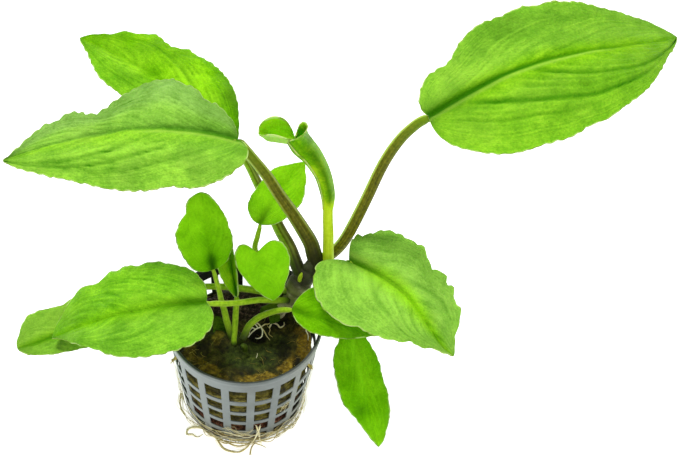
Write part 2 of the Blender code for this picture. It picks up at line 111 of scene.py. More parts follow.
# Leaf blades. base and tip are the ends of the midrib. Pairs are (left, right) as seen looking
# from the base to the tip with the upper side up. width is the half width, full and sharp shape
# the outline towards the base and the tip, lobe draws the base back past the stalk, fold lifts
# the half in degrees, curl rolls its margin down, and bow and sway bend the midrib up and right.
# ripple, phase and waves undulate the outline, rib holds the midrib's drift as (t, mm), and
# lobe_round rounds the lobes where they pass the stalk. left and right say how far the margin stands
# off that outline, as t in hundredths and tenths of a millimetre in turn, and teeth notch it: depth
# left and right and spacing in mm. t runs from 0 at the base to 1 at the tip, and v from -1 at the
# left margin to 1 at the right one. creases are (side, then in hundredths the t where they leave the
# midrib, inner v, outer v, depth). tone lightens a leaf or each half, partly as painted light and
# shade, base_tone its base and core its middle. fresh makes it greener, mottle is how uneven the
# greens are, bloom is how much of it is matt, rib_tint deepens the painted shade in its midrib's
# groove, and ridge is a painted highlight, a light line beside that: side, from t, to t. pale greys
# each half with a painted sheen, in full beyond pale_from and by the share pale_core inside it, and
# dark is painted shade at the base. spots are lighter and darker places, partly painted highlights
# and shade, in hundredths: t, v, half sizes, how much lighter.
BLADES = {
    "upper_right": dict(
        base=(56, 37, 118), tip=(141, 82, 122), roll=-1, width=(21.2, 29.8), full=(0.73, 0.59),
        sharp=(0.83, 0.94), lobe=(0.17, 0.09), bow=0.11, sway=0.02, fold=(-1, 5), curl=(-0.3, 0.15),
        ripple=(0.04, -0.01), phase=(0.5, 0.4), waves=3,
        rib=((0, 0), (0.2, -1.5), (0.4, -1.7), (0.6, 0), (1, 0)),
        tone=-0.02, fresh=0.15, mottle=0.65, bloom=0.6, rib_tint=1.6, ridge=(1, -0.1, 0.75),
        pale=(0.3, 0.15), dark=0.6, teeth=(0.4, 0.35, 3.1),
        creases=((1, 34, 12, 80, 90), (1, 4, 20, 84, 120), (1, 20, 22, 42, 50), (1, -18, 45, 85, 60),
                 (-1, 44, 10, 34, 40), (-1, 5, 30, 80, 30)),
        spots=((12, -75, 12, 30, 7), (35, -75, 15, 20, -2), (20, 75, 20, 30, 4), (26, -35, 13, 22, 14),
               (45, -85, 12, 15, -6), (55, 20, 20, 15, 5), (50, 55, 30, 15, -4)),
        left=(0, 0, 5, 5, 11, 4, 15, 0, 20, -18, 24, -7, 27, 0, 32, 3, 37, -2, 42, -9, 46, 0, 50, 7, 53, 4,
              59, 9, 63, 1, 68, -3, 75, -16, 81, -7, 86, -3, 91, 5, 100, 5),
        right=(0, 25, 5, 16, 10, 7, 17, 7, 23, 5, 30, -1, 34, 2, 40, 8, 47, -3, 53, 5, 60, 4, 66, 10,
               73, 14, 80, 7, 86, -1, 89, -6, 93, 3, 100, 5)),
    "upper_left": dict(
        base=(-6.4, 31.7, 104), tip=(-87.7, 30.3, 84), roll=-1, width=(22, 20.7), full=(0.58, 0.5),
        sharp=(0.83, 1.12), lobe=(0.14, 0), lobe_round=1, bow=0.01, sway=0.09, fold=(8, 27),
        curl=(0.42, 0.29), ripple=(0.01, -0.3), phase=(0.4, 0.4), waves=2,
        rib=((0, 0), (0.2, 1.2), (0.6, 0.7), (1, 0)),
        tone=(0.04, -0.08), base_tone=-0.06, fresh=0.2, rib_tint=0.75, ridge=(-1, 0.0, 0.5),
        pale=(0.35, 0.95), pale_from=(0.1, 0.25), pale_core=0.55, dark=0.2, teeth=(0.35, 1.1, 3.4),
        creases=((-1, 12, 40, 85, 90), (-1, 30, 25, 75, 80), (-1, -10, 50, 85, 60), (1, 12, 20, 85, -70)),
        spots=((55, -40, 25, 25, 7), (20, -45, 12, 25, -5), (42, -70, 8, 20, -5), (30, -75, 10, 20, 5),
               (80, -25, 20, 25, -8), (35, 38, 30, 10, 10), (78, 35, 20, 40, 12), (62, 20, 30, 20, 12),
               (20, 60, 15, 30, 6), (50, -85, 12, 15, -7)),
        left=(0, 4, 4, 5, 8, 0, 12, 3, 17, 5, 23, 9, 28, 5, 33, -6, 38, -1, 45, 5, 59, 2, 65, -2, 74, -1,
              79, 5, 85, 2, 91, 7, 100, 5),
        right=(2, -24, 6, -16, 10, 2, 14, -9, 18, 16, 22, 16, 26, -6, 30, 4, 34, -8, 38, -5, 42, 3, 46, 4,
               50, 9, 54, 7, 58, -9, 62, -18, 66, -10, 70, 2, 74, 4, 78, -14, 80, -10, 83, 7, 88, 11,
               92, 12, 100, 5)),
    "upper_left_back": dict(
        base=(-8.5, 45.1, 86), tip=(-71, 87.8, 90), roll=4, width=(18.7, 19.4), full=(0.55, 0.75),
        sharp=(0.88, 0.87), lobe=(0.12, 0), bow=0.01, sway=0.06, fold=(10, 12), curl=(0.07, 0.27),
        ripple=(-0.03, -0.02), phase=(-1.2, -0.8), waves=4,
        tone=-0.01, base_tone=-0.05, fresh=0.35, bloom=0.5, rib_tint=0.7, pale=(0.1, 0), dark=0.8,
        teeth=(0.5, 0.45, 3.4),
        creases=((-1, 15, 20, 80, 50), (1, 20, 20, 80, 50)),
        spots=((40, 35, 16, 25, 19), (12, 85, 16, 30, -13), (60, 75, 10, 30, -8), (75, -30, 20, 40, 4),
               (30, 95, 20, 12, -10)),
        left=(60, 0, 64, 3, 68, 7, 75, 11, 81, 11, 86, 5, 90, -2, 95, -4, 100, 0),
        right=(0, -10, 10, -10, 14, -3, 26, 0, 32, 5, 38, 4, 44, -4, 50, -15, 54, -6, 56, -2, 60, -22,
               65, -22, 70, 0, 74, 18, 79, 6, 83, 9, 86, 20, 89, -9, 93, -3, 98, 8, 100, 5)),
    "behind_stalks": dict(
        base=(1.8, 28.4, 64.6), tip=(15.5, 50.9, 74.6), roll=6, width=(9.4, 9.9), full=(0.57, 0.6),
        sharp=(0.87, 0.86), lobe=(0.11, 0), bow=0.06, fold=(8, 9), curl=(0.08, 0.12), ripple=(0.04, 0.03),
        phase=(-0.3, 1.1), waves=2,
        tone=0.07, fresh=0.4, mottle=0.5, bloom=0.1, rib_tint=0.2, dark=0.6, teeth=(0.1, 0.1, 5),
        left=(0, -8, 10, -8, 20, -4, 42, -5, 54, -5, 62, 0, 70, 7, 80, 8, 88, 0, 100, 0),
        right=(0, -3, 30, -2, 50, 0, 68, -4, 75, -2, 83, -4, 89, -9, 95, -4, 100, 0)),
    "small_heart": dict(
        base=(2.8, 9.7, 72), tip=(9.2, 3.2, 54), roll=-24, width=(10.7, 7.5), full=(0.52, 0.5),
        sharp=(0.81, 1.21), lobe=(0.42, 0.52), bow=0.03, sway=0.04, fold=(8, 2), curl=(0.14, 0.15),
        ripple=(-0.03, 0.04), phase=(-0.3, -2), waves=2,
        tone=0.12, fresh=0.75, mottle=0.4, bloom=0.1, rib_tint=0.15, teeth=(0.1, 0.1, 5),
        left=(0, 4, 6, -3, 14, -4, 22, 1, 60, 0, 70, -4, 80, -3, 88, 4, 94, 8, 100, 0),
        right=(0, 4, 7, -3, 14, -3, 20, 1, 40, 2, 56, -2, 70, -5, 80, -3, 90, 1, 100, 0)),
    "small_upright": dict(
        base=(-12, 6.8, 64), tip=(-17.8, 19.1, 90), roll=3, width=(10.1, 8.7), full=(0.57, 0.56),
        sharp=(0.69, 0.78), lobe=(0.09, 0.02), bow=0.05, sway=-0.01, fold=(6, 7), curl=(0.12, 0.08),
        ripple=(0.06, -0.01), phase=(1.2, 0.7), waves=2,
        tone=0.08, base_tone=-0.06, fresh=0.65, mottle=0.45, bloom=0.1, rib_tint=0.1, dark=1.0,
        teeth=(0.25, 0.1, 5),
        spots=((85, -30, 12, 35, 5), (50, -70, 30, 20, -4), (13, 5, 8, 35, -22), (37, 0, 17, 60, -11)),
        left=(0, 3, 14, 3, 30, 4, 36, 4, 47, 0, 50, 9, 53, 2, 62, 7, 71, 7, 77, -1, 80, -5, 86, 3, 92, 15,
              96, 20, 100, 20),
        right=(6, -5, 11, 2, 17, -3, 23, 1, 35, -1, 56, -4, 65, 0, 75, -2, 83, 3, 90, 7, 95, 14, 100, 15)),
    "lower_left": dict(
        base=(-13.2, -2.7, 58), tip=(-65.5, -14.2, 44), roll=2, width=(19.4, 19.4), full=(0.68, 0.57),
        sharp=(1.13, 0.7), lobe=(0.22, 0.13), bow=0.12, sway=-0.03, fold=(13, 10), curl=(0.26, 0.16),
        ripple=(0.02, 0.02), phase=(-1.6, -0.6), waves=3,
        tone=0.02, fresh=0.4, bloom=0.6, rib_tint=0.6, pale=(0.25, 0.15), dark=0.6, teeth=(0.45, 0.45, 3.8),
        creases=((-1, 34, 10, 50, 60), (-1, 6, 40, 75, 50), (1, 24, 5, 60, 40)),
        spots=((40, -50, 15, 25, 5), (16, -70, 12, 30, -5), (68, -80, 15, 20, -12), (66, 20, 12, 30, -5),
               (30, 60, 20, 25, 3), (95, 0, 20, 70, -9)),
        left=(0, 8, 10, 0, 20, -4, 30, -1, 38, 2, 50, -1, 58, 4, 65, 5, 70, -5, 74, -9, 88, -8, 92, -10,
              100, 0),
        right=(0, 0, 10, 1, 17, 3, 23, 2, 28, 8, 33, 10, 38, 2, 42, -8, 45, -5, 49, 5, 53, 1, 56, 2, 59, 10,
               62, 1, 65, -15, 68, -12, 72, -2, 75, 10, 78, 15, 81, 10, 85, 6, 88, 8, 92, -8, 100, 0)),
    "lower_left_back": dict(
        base=(-44.4, 1.7, 46), tip=(-79, -12.9, 34), roll=5, width=(9.5, 11.2), full=(0.51, 0.67),
        sharp=(0.74, 0.5), lobe=(0.16, 0.09), bow=0.05, sway=-0.07, fold=(9, 12), curl=(0.11, 0.03),
        ripple=(-0.03, 0.09), phase=(-0.5, -1.6), waves=2,
        tone=0.02, fresh=0.15, rib_tint=2.2, pale=(0.3, 0.3),
        spots=((88, -20, 15, 60, -9),),
        left=(40, 0, 50, -1, 60, -3, 80, -2, 86, 0, 92, 9, 100, 8),
        right=(40, 4, 47, 0, 60, -4, 70, -2, 77, 5, 83, 12, 89, 8, 92, 2, 95, -12, 100, -5)),
    "lower_right": dict(
        base=(34.5, 17.6, 62), tip=(73.1, -12.1, 52), roll=-7, width=(20.8, 22.4), full=(0.7, 0.7),
        sharp=(0.85, 1.3), lobe=(0.47, 0.45), bow=-0.01, sway=-0.02, fold=(13, 30), curl=(0.08, 0.5),
        ripple=(0.06, 0.04), phase=(0.5, 1.3), waves=3,
        rib=((0, 0), (0.18, -3), (0.37, -4.6), (0.62, -3), (1, 0)),
        tone=0.06, fresh=0.25, mottle=0.8, rib_tint=0.8, ridge=(-1, 0.0, 0.25), pale=(0.55, 0.5), dark=0.5,
        teeth=(0.9, 0.5, 3),
        creases=((1, 14, 10, 60, 40), (-1, 30, 15, 70, 30)),
        spots=((55, 10, 15, 25, 10), (40, -75, 30, 30, -12), (80, 30, 15, 40, -8), (30, 40, 15, 25, 8),
               (5, -50, 10, 50, -10), (95, 0, 12, 60, -8), (28, 5, 12, 25, 20)),
        left=(0, 5, 5, -2, 10, -18, 14, -24, 20, -10, 23, 1, 29, 4, 32, -2, 36, -8, 40, -7, 44, 7, 47, 9,
              50, -6, 54, -10, 57, -3, 60, 10, 63, 8, 65, -13, 68, -1, 71, 1, 74, -11, 77, -4, 80, 13,
              83, 21, 87, 8, 90, -10, 93, -20, 97, -12, 100, 0),
        right=(0, 0, 6, -4, 10, -16, 14, -17, 18, -7, 25, -1, 36, -1, 42, 8, 46, 10, 50, 0, 54, 6, 59, 2,
               65, -5, 71, -9, 74, -21, 77, -6, 81, 4, 83, 9, 86, -5, 90, 3, 95, 10, 100, 0)),
    "middle_right": dict(
        base=(16.2, 0.5, 54), tip=(46.7, -0.6, 44), roll=-9, width=(12.6, 6.9), full=(0.6, 0.54),
        sharp=(0.91, 1.08), bow=0.04, sway=0.02, fold=(11, 9), curl=(0.06, 0.11), ripple=(0.03, 0.03),
        phase=(-0.3, -1), waves=2,
        tone=-0.01, fresh=0.45, mottle=0.6, bloom=0.1, rib_tint=0.5, dark=0.4, teeth=(0.1, 0.1, 5)),
    "hanging": dict(
        base=(37.7, 8.9, 38), tip=(51.1, -26.1, 12), roll=5, width=(7.4, 10.3), full=(0.69, 0.66),
        sharp=(0.65, 1.03), bow=0.05, sway=0.02, fold=(8, 8), curl=(0.05, 0.16), ripple=(0.02, 0.03),
        phase=(-0.2, -0.3), waves=2,
        tone=0.02, core=0.13, fresh=0.7, mottle=0.5, bloom=0.1, rib_tint=0.0, dark=0.2,
        teeth=(0.15, 0.15, 5),
        spots=((70, 25, 17, 70, -20),),
        left=(10, -5, 17, -5, 26, -2, 34, 2, 50, -1, 59, 3, 68, 4, 74, 8, 83, 7, 87, 2, 100, 0),
        right=(10, -4, 14, -7, 18, 0, 30, 2, 50, 2, 62, 4, 71, -3, 83, -2, 95, 3, 100, 3)),
    "folded_young": dict(
        base=(-3.5, 4.9, 51.8), tip=(-9.2, 20, 68), roll=0, width=(6.6, 2.6), full=(0.8, 0.7),
        sharp=(0.6, 0.6), fold=(35, 55),
        tone=0.03, fresh=0.4, mottle=0.5, bloom=0.1, rib_tint=1.2, dark=0.3, teeth=(0, 0, 5)),
}

# Leaf stalks: the route from the creeping stem to the blade, radii along it, and the angles in
# degrees from the side facing the camera of the pale sheath margins. foot is the share of the length
# where the painted shade at the base fades out, and reach how far the stalk runs on below its route.
# brown stalks have green flanks between the margins, or outside them where green_outside says so, and
# turn green from green_top of the length. lime is the brightest green.
STALKS = {
    "upper_right": dict(
        route=((24.3, 23.2, 53.4), (27.8, 24.8, 55.8), (31.1, 25.6, 60.6), (34.1, 27.2, 67.7),
               (38.4, 30.9, 80.2), (43, 35, 94.7), (47.6, 37.2, 105), (52.1, 37.2, 112.8),
               (55, 36.9, 116.3)),
        radius=(2.1, 2.1, 1.9, 1.65), brown=True, margins=(-50, -140), foot=0.12),
    "upper_left": dict(
        route=((22, 21.4, 59.2), (20.5, 23.6, 62.6), (17.5, 25.2, 67.5), (13.5, 26.8, 73.7),
               (8.6, 27.8, 81.8), (3.7, 29.6, 89.5), (-1.4, 30.8, 96.5), (-5.4, 31.7, 102)),
        radius=(2.65, 2.15, 1.7), brown=True, margins=(-58, 54), green_outside=True, foot=0.45, reach=6.5),
    "upper_left_back": dict(
        route=((15.6, 20.6, 55.2), (12.8, 26, 57), (8.6, 32.2, 58.8), (4.3, 39.8, 61.6), (-0.3, 45, 66.8),
               (-4, 46.2, 75.2), (-7.2, 45.1, 83.3)),
        radius=(2.2, 1.5), brown=True, margins=(15, -120), foot=0.35, green_top=0.45, reach=6),
    "behind_stalks": dict(
        route=((10.8, 14.6, 46.3), (7.4, 14.8, 50.2), (4, 17.4, 54.7), (1, 22, 58.1), (1.4, 25.2, 61),
               (1.9, 27.5, 63.1)),
        radius=(1.1, 0.9)),
    "small_heart": dict(
        route=((12.1, 12.5, 49), (10.2, 12.2, 52.6), (7.4, 11.9, 59), (5, 11.8, 65), (3.4, 11.2, 69.6)),
        radius=(1.1, 0.8)),
    "small_upright": dict(
        route=((-4.9, -0.8, 37.5), (-5.8, 0.3, 40), (-6.7, 1.1, 43.2), (-7.6, 2.5, 46.6), (-8.7, 3.3, 51),
               (-9.7, 4.3, 56), (-11.4, 6.4, 61.8)),
        radius=(1.25, 1.1, 0.8), foot=0.4),
    "lower_left": dict(
        route=((12.6, 9.6, 46.4), (8.8, 7.7, 48.3), (4, 5.3, 50.9), (-2, 1.7, 53.3), (-6.5, -0.6, 55.1),
               (-10.2, -2, 56.4), (-12.3, -2.6, 56.8)),
        radius=(1.1, 1)),
    "lower_left_back": dict(
        route=((9.4, 12.2, 46.4), (4.1, 11.4, 48.2), (-2.5, 11, 49.2), (-10, 10.2, 50.2), (-20, 8.2, 50.9),
               (-30, 5.6, 50.4), (-38, 3.4, 48.4), (-43, 2.1, 45.6)),
        radius=(1.2, 1)),
    "lower_right": dict(
        route=((26.3, 15.8, 55.2), (28.4, 15.6, 56.8), (30.8, 16.2, 58.8), (33.4, 17.2, 60.2)),
        radius=(1.5, 1.1), foot=0.7, reach=5.5),
    "middle_right": dict(
        route=((0.3, -1.8, 40), (1.4, 0.4, 41.9), (4.4, 2.4, 44.4), (8.2, 2.7, 47.4), (12.4, 2, 50.8),
               (15.2, 1, 52.6)),
        radius=(1.2, 1), foot=0.4),
    "hanging": dict(
        route=((21.9, 11.4, 48.8), (24.8, 11.2, 50.2), (28.4, 11, 50.6), (32.6, 10.2, 48),
               (35.8, 9.6, 42.6), (37.1, 9.3, 39)),
        radius=(1.3, 1)),
    "rolled_young": dict(
        route=((27.2, 20.4, 57.8), (26.9, 21.4, 62), (26.4, 22.7, 70), (25.9, 23.4, 76), (25.5, 24.4, 83)),
        radius=(1.9, 1.7), lime=True, margins=(-100, 100)),
    "folded_young": dict(
        route=((-3.5, -2.3, 36.6), (-3.6, -0.6, 39), (-3.6, 1.2, 42), (-3.6, 3.2, 46.5), (-3.4, 4.2, 50.3)),
        radius=(1.1, 1.1, 1), foot=0.16),
}

# The rolled young blade: its route and radii, the rim it opens into as (angle in degrees from the
# side facing the camera, point), and the three rails of the spoon-shaped hood beyond that rim.
ROLLED_ROUTE = ((25.5, 24.6, 81), (25.5, 24.7, 83.8), (25, 26.2, 87.6), (22.8, 29.2, 93.4),
                (19, 31.6, 99), (15.4, 32.2, 103.4))
ROLLED_RADIUS = (1.72, 1.85, 2.25, 2.6, 3.2, 3.7)
ROLLED_RIM = ((-70, (9.9, 30.5, 106.1)), (-30, (11.5, 28.6, 109.4)), (10, (13.5, 28.4, 110.7)),
              (45, (15.3, 29.8, 111.2)), (80, (16.3, 31.6, 111.4)), (105, (16.7, 33.2, 112)),
              (122, (15.9, 34, 112.8)), (140, (14.7, 34.4, 112.6)), (158, (13.7, 34.4, 111)),
              (175, (13.3, 34.2, 108.8)), (190, (13.4, 33.6, 107.3)), (215, (12.9, 33.4, 105.7)),
              (255, (10.9, 33, 104.6)))
HOOD_NEAR = ((0.6, 31.4, 107.7), (2, 30.4, 108.5), (3.7, 29.8, 109.8), (6.1, 29.4, 110.3),
             (8.4, 29.2, 109.9), (10.5, 29.4, 109), (12.1, 29.8, 108.6))
HOOD_KEEL = ((0.6, 31.6, 107.3), (2, 31.2, 106.7), (3.7, 30.9, 105.6), (6.1, 30.7, 105.6),
             (8.4, 30.6, 105.5), (10.5, 30.6, 105.4), (12.1, 31, 105.2))
HOOD_BACK = ((0.4, 31.8, 107.5), (0.6, 33.6, 109.7), (2.4, 34.8, 111.7), (5.4, 35.4, 112.9),
             (8.7, 35.2, 112.1), (11, 34.4, 109.3), (12.4, 33.4, 106.4))

# Creeping stem and the small shoots beside it.
RHIZOME_ROUTE = ((10.5, 11.5, 36), (10.5, 11.5, 39.4), (14, 13.3, 41), (16, 14, 45.5), (18, 15, 50.5),
                 (20.4, 17.2, 54.4), (21.9, 20.1, 57.5))
RHIZOME_RADIUS = (3, 3, 4, 4.1, 4.3, 3.1, 1.7)
SCAR_SPACING = 4.3   # between leaf scars along the stem
SCAR_DEPTH = 0.02    # share of the radius
BUD_ROUTE = ((17.9, 13.6, 53), (17.8, 13, 55), (18.1, 13.4, 56.5), (18.4, 13.9, 57.6))
SIDE_SHOOT_ROUTE = ((-2.9, -0.9, 34.5), (-2.9, -0.9, 36), (-2.8, -0.8, 37.2), (-2.8, -0.7, 38.2))
STUB_ROUTE = ((0.6, -4.6, 33), (0.6, -4.6, 35), (0.4, -5.6, 37.4), (-0.2, -6.4, 39.2))
# Piece, route, radii, CAD node, how dark as painted shade, how lime, slot.
SHOOTS = (
    ("bud_crown", BUD_ROUTE, (0.7, 0.75, 0.7, 0.25), "crown_bud", 0.2, 0.8, "young_leaf"),
    ("shoot_side", SIDE_SHOOT_ROUTE, (3.0, 2.5, 1.9, 0.9), "side_shoot", 0.95, 0.0, "green_stalk"),
    ("shoot_stub", STUB_ROUTE, (1.1, 1.1, 1.1, 0.7), "green_stub", 0.85, 0.0, "green_stalk"))

# Young roots in the hollow of the plug: tone, radius, route.
ROOTLETS = (
    (0.75, 0.28, ((5.3, 5.1, 35.2), (4.2, 6.2, 35.4), (2.9, 7.0, 35.2), (2.0, 8.2, 34.6))),
    (0.95, 0.24, ((4.4, 4.6, 35.0), (3.0, 5.9, 35.4), (1.6, 5.6, 35.2), (1.2, 3.8, 34.8))),
    (0.98, 0.22, ((3.3, 4.4, 34.6), (2.1, 4.6, 34.9), (1.4, 3.2, 34.8), (1.5, 2.2, 34.4))),
    (0.9, 0.26, ((5.3, 5.1, 35.2), (3.6, 4.2, 35.0), (2.0, 2.4, 34.6), (1.1, 0.6, 34.4))),
    (1.0, 0.24, ((5.3, 5.1, 35.2), (6.0, 3.4, 35.0), (5.9, 1.2, 34.8), (4.6, 0.2, 34.8), (3.8, 0.5, 34.6))),
    (0.6, 0.24, ((5.3, 5.1, 35.2), (6.6, 3.6, 34.9), (7.6, 1.8, 34.8), (9.0, 0.2, 34.6))),
    (0.6, 0.25, ((5.3, 5.1, 35.2), (6.6, 6.2, 35.5), (7.8, 6.6, 35.4), (8.8, 8.0, 35.0))),
    (0.4, 0.18, ((7.4, 6.2, 34.9), (8.6, 4.6, 34.8), (8.4, 2.8, 34.6), (9.8, 1.6, 34.5))),
    (0.7, 0.34, ((8.2, 5.1, 35.0), (9.1, 7.0, 35.5), (10.9, 6.7, 35.5), (12.1, 5.5, 35.4),
                 (13.4, 6.6, 35.4), (13.3, 8.3, 35.0))),
    (0.95, 0.2, ((21.4, 6.2, 35.8), (21.6, 4.4, 36.2), (22.4, 2.6, 36.4), (22.6, 0.6, 36))),
    (0.9, 0.12, ((5.0, -8.6, 35.2), (5.3, -7.4, 35.9), (5.1, -6.4, 35.2))),
)
# Small old leaves: name, lower edge, upper edge.
OLD_LEAVES = (
    ("leaf_old_left", ((4.5, 6.6, 41), (8, 7.4, 41.4), (11.5, 8.6, 41.8), (14.6, 10.2, 42.4)),
     ((4.8, 8.6, 42.4), (8, 10.2, 43), (11.5, 11.4, 43.4), (14.6, 12, 43.4))),
    ("leaf_old_middle", ((8.6, 5.0, 37.6), (9.8, 5.4, 37.8), (11, 6, 37.9), (12, 6.8, 38)),
     ((7.8, 7.5, 39), (9, 8.2, 39.3), (10.4, 8.6, 39.3), (11.6, 8.8, 39))),
    ("leaf_old_side", ((-11.2, -1.8, 34.8), (-10.1, -2.2, 35), (-8.6, -1.4, 35), (-6.6, -0.8, 35)),
     ((-11.8, 4.2, 38.6), (-10.9, 5.4, 38.8), (-9, 5.2, 38.8), (-6.8, 3.6, 38.6))),
)
WOOL_STRANDS = 150   # loose strands on the plug
STRAND_STEPS = 7     # points along each
TUFT_STRANDS = 26    # strands in each tuft
# Tufts of wool at the windows: where they start, how they stick out.
TUFTS = (((-22.4, -13.2, 38.8), (-1.5, -1.0, -2.2)), ((23.2, -11.4, 38.8), (2, -0.7, -1.9)))
FOOT_STRANDS = 24    # thin roots that wrap the foot of the pot
# Roots: main radius, hairs along each route, their spread, routes (on the floor if flat).
ROOTS = {
    "root_1": (0.4, 5, 0.4,
        ((-9.2, -19.5), (-12.8, -17.7), (-16.1, -17.6), (-18.5, -18.7), (-18.6, -20.9), (-16.8, -20.7),
         (-14.5, -21.7), (-12.8, -20.3)),
        ((-7.9, -21), (-6.1, -23.8), (-3.7, -26.1), (0.8, -26.5), (3.5, -24.5), (5.3, -21.3),
         (6.5, -19.1))),
    "root_2": (0.3, 4, 0.5,
        ((-12.4, -18.6), (-8.7, -20.9), (-4.2, -22.4), (1, -22.7), (5.3, -22), (9.6, -20.6), (13.8, -18.4),
         (17.2, -15)),
        ((-10.5, -19.3), (-5.8, -21.8), (-0.3, -23.9), (3.2, -23.2), (6.7, -21.3))),
    "root_3": (0.24, 3, 0.35,
        ((6.9, -23.4, 14.5), (7.4, -22.6, 10.6), (7.9, -22.4, 6.2), (8.4, -22.2, 2.4), (8.9, -22.4, 0.6)),
        ((8.3, -23.2, 14.2), (7.7, -22.7, 10), (6.8, -22.8, 6), (5.6, -23, 2.6), (4, -23.2, 0.6)),
        ((5.2, -27.2), (5.3, -24.6), (6.2, -22.4), (8.4, -22.6), (10.7, -23.6))),
    "root_4": (0.13, 10, 0.7,
        ((13.8, -18.2, 0.8), (17.3, -15.7, 1), (19.9, -12, 1.2), (21.4, -8.3, 1.4), (22.6, -4.2, 1.6),
         (23.2, -0.6, 2))),
    "root_5": (0.1, 9, 0.6,
        ((-23.2, -4, 0.8), (-22.9, -8.4), (-21, -12.2), (-18, -15.4), (-14.6, -17.6))),
    "root_6": (0.07, 8, 0.6,
        ((22.2, -7.7, 3), (22.8, -6.6, 8), (23.1, -7.6, 14), (23.6, -6.6, 21), (24.6, -8.2, 30)),
        ((15.5, -19.5, 21.2), (16.8, -18.6, 22.6), (17.5, -18.3, 24.2))),
    "root_7": (0.07, 7, 0.6,
        ((-21.9, -7.8, 3), (-22.3, -7.4, 7), (-22.4, -8.6, 12), (-23.4, -7.8, 18), (-24, -8.6, 26)),
        ((-4.4, -23.2, 10.4), (-2.2, -23.9, 11.4), (0.4, -24.1, 9.8), (3.2, -23.8, 9.2),
         (6.1, -23.2, 11.1))),
}


def smooth_step(low, high, value):
    """0 below low, 1 above high and a smooth rise between."""
    u = np.clip((value - low) / (high - low), 0.0, 1.0)
    return u * u * (3 - 2 * u)


def hump(value, middle, width):
    """1 at the middle, and a smooth fall to 0 on both sides."""
    return np.exp(-((value - middle) / width) ** 2)


def stretch(values, count):
    """A short list of values spread evenly over count places."""
    return np.interp(np.linspace(0, len(values) - 1, count), np.arange(len(values)), values)


def ripples(x, y, size, seed, parts=7):
    """Smooth random relief, mostly within -1 and 1, with features of the given size."""
    rng = np.random.default_rng(seed)
    total = np.zeros(np.broadcast(x, y).shape)
    for _ in range(parts):
        angle, phase = rng.uniform(0, math.tau, 2)
        step = math.tau / (size * rng.uniform(0.7, 1.6))
        total += np.sin(step * (x * math.cos(angle) + y * math.sin(angle)) + phase)
    return total / math.sqrt(2 * parts)


def smooth_route(points, per_span):
    """Points along a smooth curve through the given ones."""
    p = np.array(points, float)
    p = np.vstack([2 * p[0] - p[1], p, 2 * p[-1] - p[-2]])
    route = []
    for a, b, c, d in zip(p[:-3], p[1:-2], p[2:-1], p[3:]):
        for u in np.arange(per_span) / per_span:
            route.append(0.5 * (2 * b + (c - a) * u + (2 * a - 5 * b + 4 * c - d) * u ** 2
                                + (3 * b - a - 3 * c + d) * u ** 3))
    route.append(p[-2])
    return np.array(route)


def ring_grid(rows, sides):
    """Point numbers of stacked rings, with the first column once more at the end."""
    index = np.arange(rows * sides).reshape(rows, sides)
    return np.hstack([index, index[:, :1]])


def grid_faces(index, flip=False):
    """Faces between the rows of an index grid, with repeated corners dropped."""
    faces = []
    for low, high in zip(index[:-1].tolist(), index[1:].tolist()):
        for k in range(len(low) - 1):
            ring = list(dict.fromkeys((low[k], low[k + 1], high[k + 1], high[k])))
            if len(ring) > 2:
                faces.append(ring[::-1] if flip else ring)
    return faces


def add_mesh(name, points, faces, fields=None):
    """A smooth shaded mesh from points in millimetres, with named values at its points.

    Points that no face uses are left out."""
    used, corners = np.unique(np.concatenate(faces), return_inverse=True)
    ends = np.cumsum([len(face) for face in faces])[:-1]
    faces = [part.tolist() for part in np.split(corners, ends)]
    mesh = bpy.data.meshes.new(name)
    mesh.from_pydata((np.asarray(points)[used] * MM).tolist(), [], faces)
    for key, values in (fields or {}).items():
        layer = mesh.attributes.new(key, "FLOAT", "POINT")
        layer.data.foreach_set("value", np.asarray(values, np.float32)[used])
    mesh.shade_smooth()
    obj = bpy.data.objects.new(name, mesh)
    bpy.context.scene.collection.objects.link(obj)
    return obj


def join_parts(parts):
    """Several (points, faces, fields) as one."""
    points, faces, fields, start = [], [], {}, 0
    for part_points, part_faces, part_fields in parts:
        points.append(part_points)
        faces += [[start + i for i in face] for face in part_faces]
        for key, values in part_fields.items():
            fields.setdefault(key, []).append(values)
        start += len(part_points)
    return np.vstack(points), faces, {key: np.concatenate(v) for key, v in fields.items()}


def place(obj, slot, finish, *nodes):
    """Give a piece its material and its body, and say which nodes it stands for. slot is not used."""
    obj.data.materials.append(finish)
    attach(obj, "root")
    if nodes:
        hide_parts(*nodes)
    return obj


def wrap(route, angle, radius):
    """Points round a route, at angles from the side that faces the camera, and its directions."""
    along = np.gradient(route, axis=0)
    along /= np.linalg.norm(along, axis=1)[:, None] + 1e-12
    facing = TO_CAMERA - along * (along @ TO_CAMERA)[:, None]
    facing /= np.linalg.norm(facing, axis=1)[:, None] + 1e-12
    sideways = np.cross(along, facing)
    ring = facing[:, None] * np.cos(angle)[:, None] + sideways[:, None] * np.sin(angle)[:, None]
    return route[:, None] + ring * radius[..., None], along


def tube_part(route, radii, sides, tone=None):
    """A round tube with closed ends, as points, faces and fields.

    front and side are the cosine and sine of the angle from the side that faces the camera."""
    route = np.asarray(route, float)
    count = len(route)
    angle = np.arange(sides) * math.tau / sides
    points, _ = wrap(route, angle, stretch(radii, count)[:, None])
    points = np.vstack([points.reshape(-1, 3), route[:1], route[-1:]])
    first, last = (np.full((1, sides + 1), count * sides + end) for end in (0, 1))
    ends = (0.0, 1.0)
    fields = dict(
        along=np.concatenate([np.repeat(np.linspace(0, 1, count), sides), ends]),
        front=np.concatenate([np.tile(np.cos(angle), count), ends]),
        side=np.concatenate([np.tile(np.sin(angle), count), ends]))
    if tone is not None:
        fields["tone"] = np.full(len(points), tone)
    return points, grid_faces(np.vstack([first, ring_grid(count, sides), last])), fields


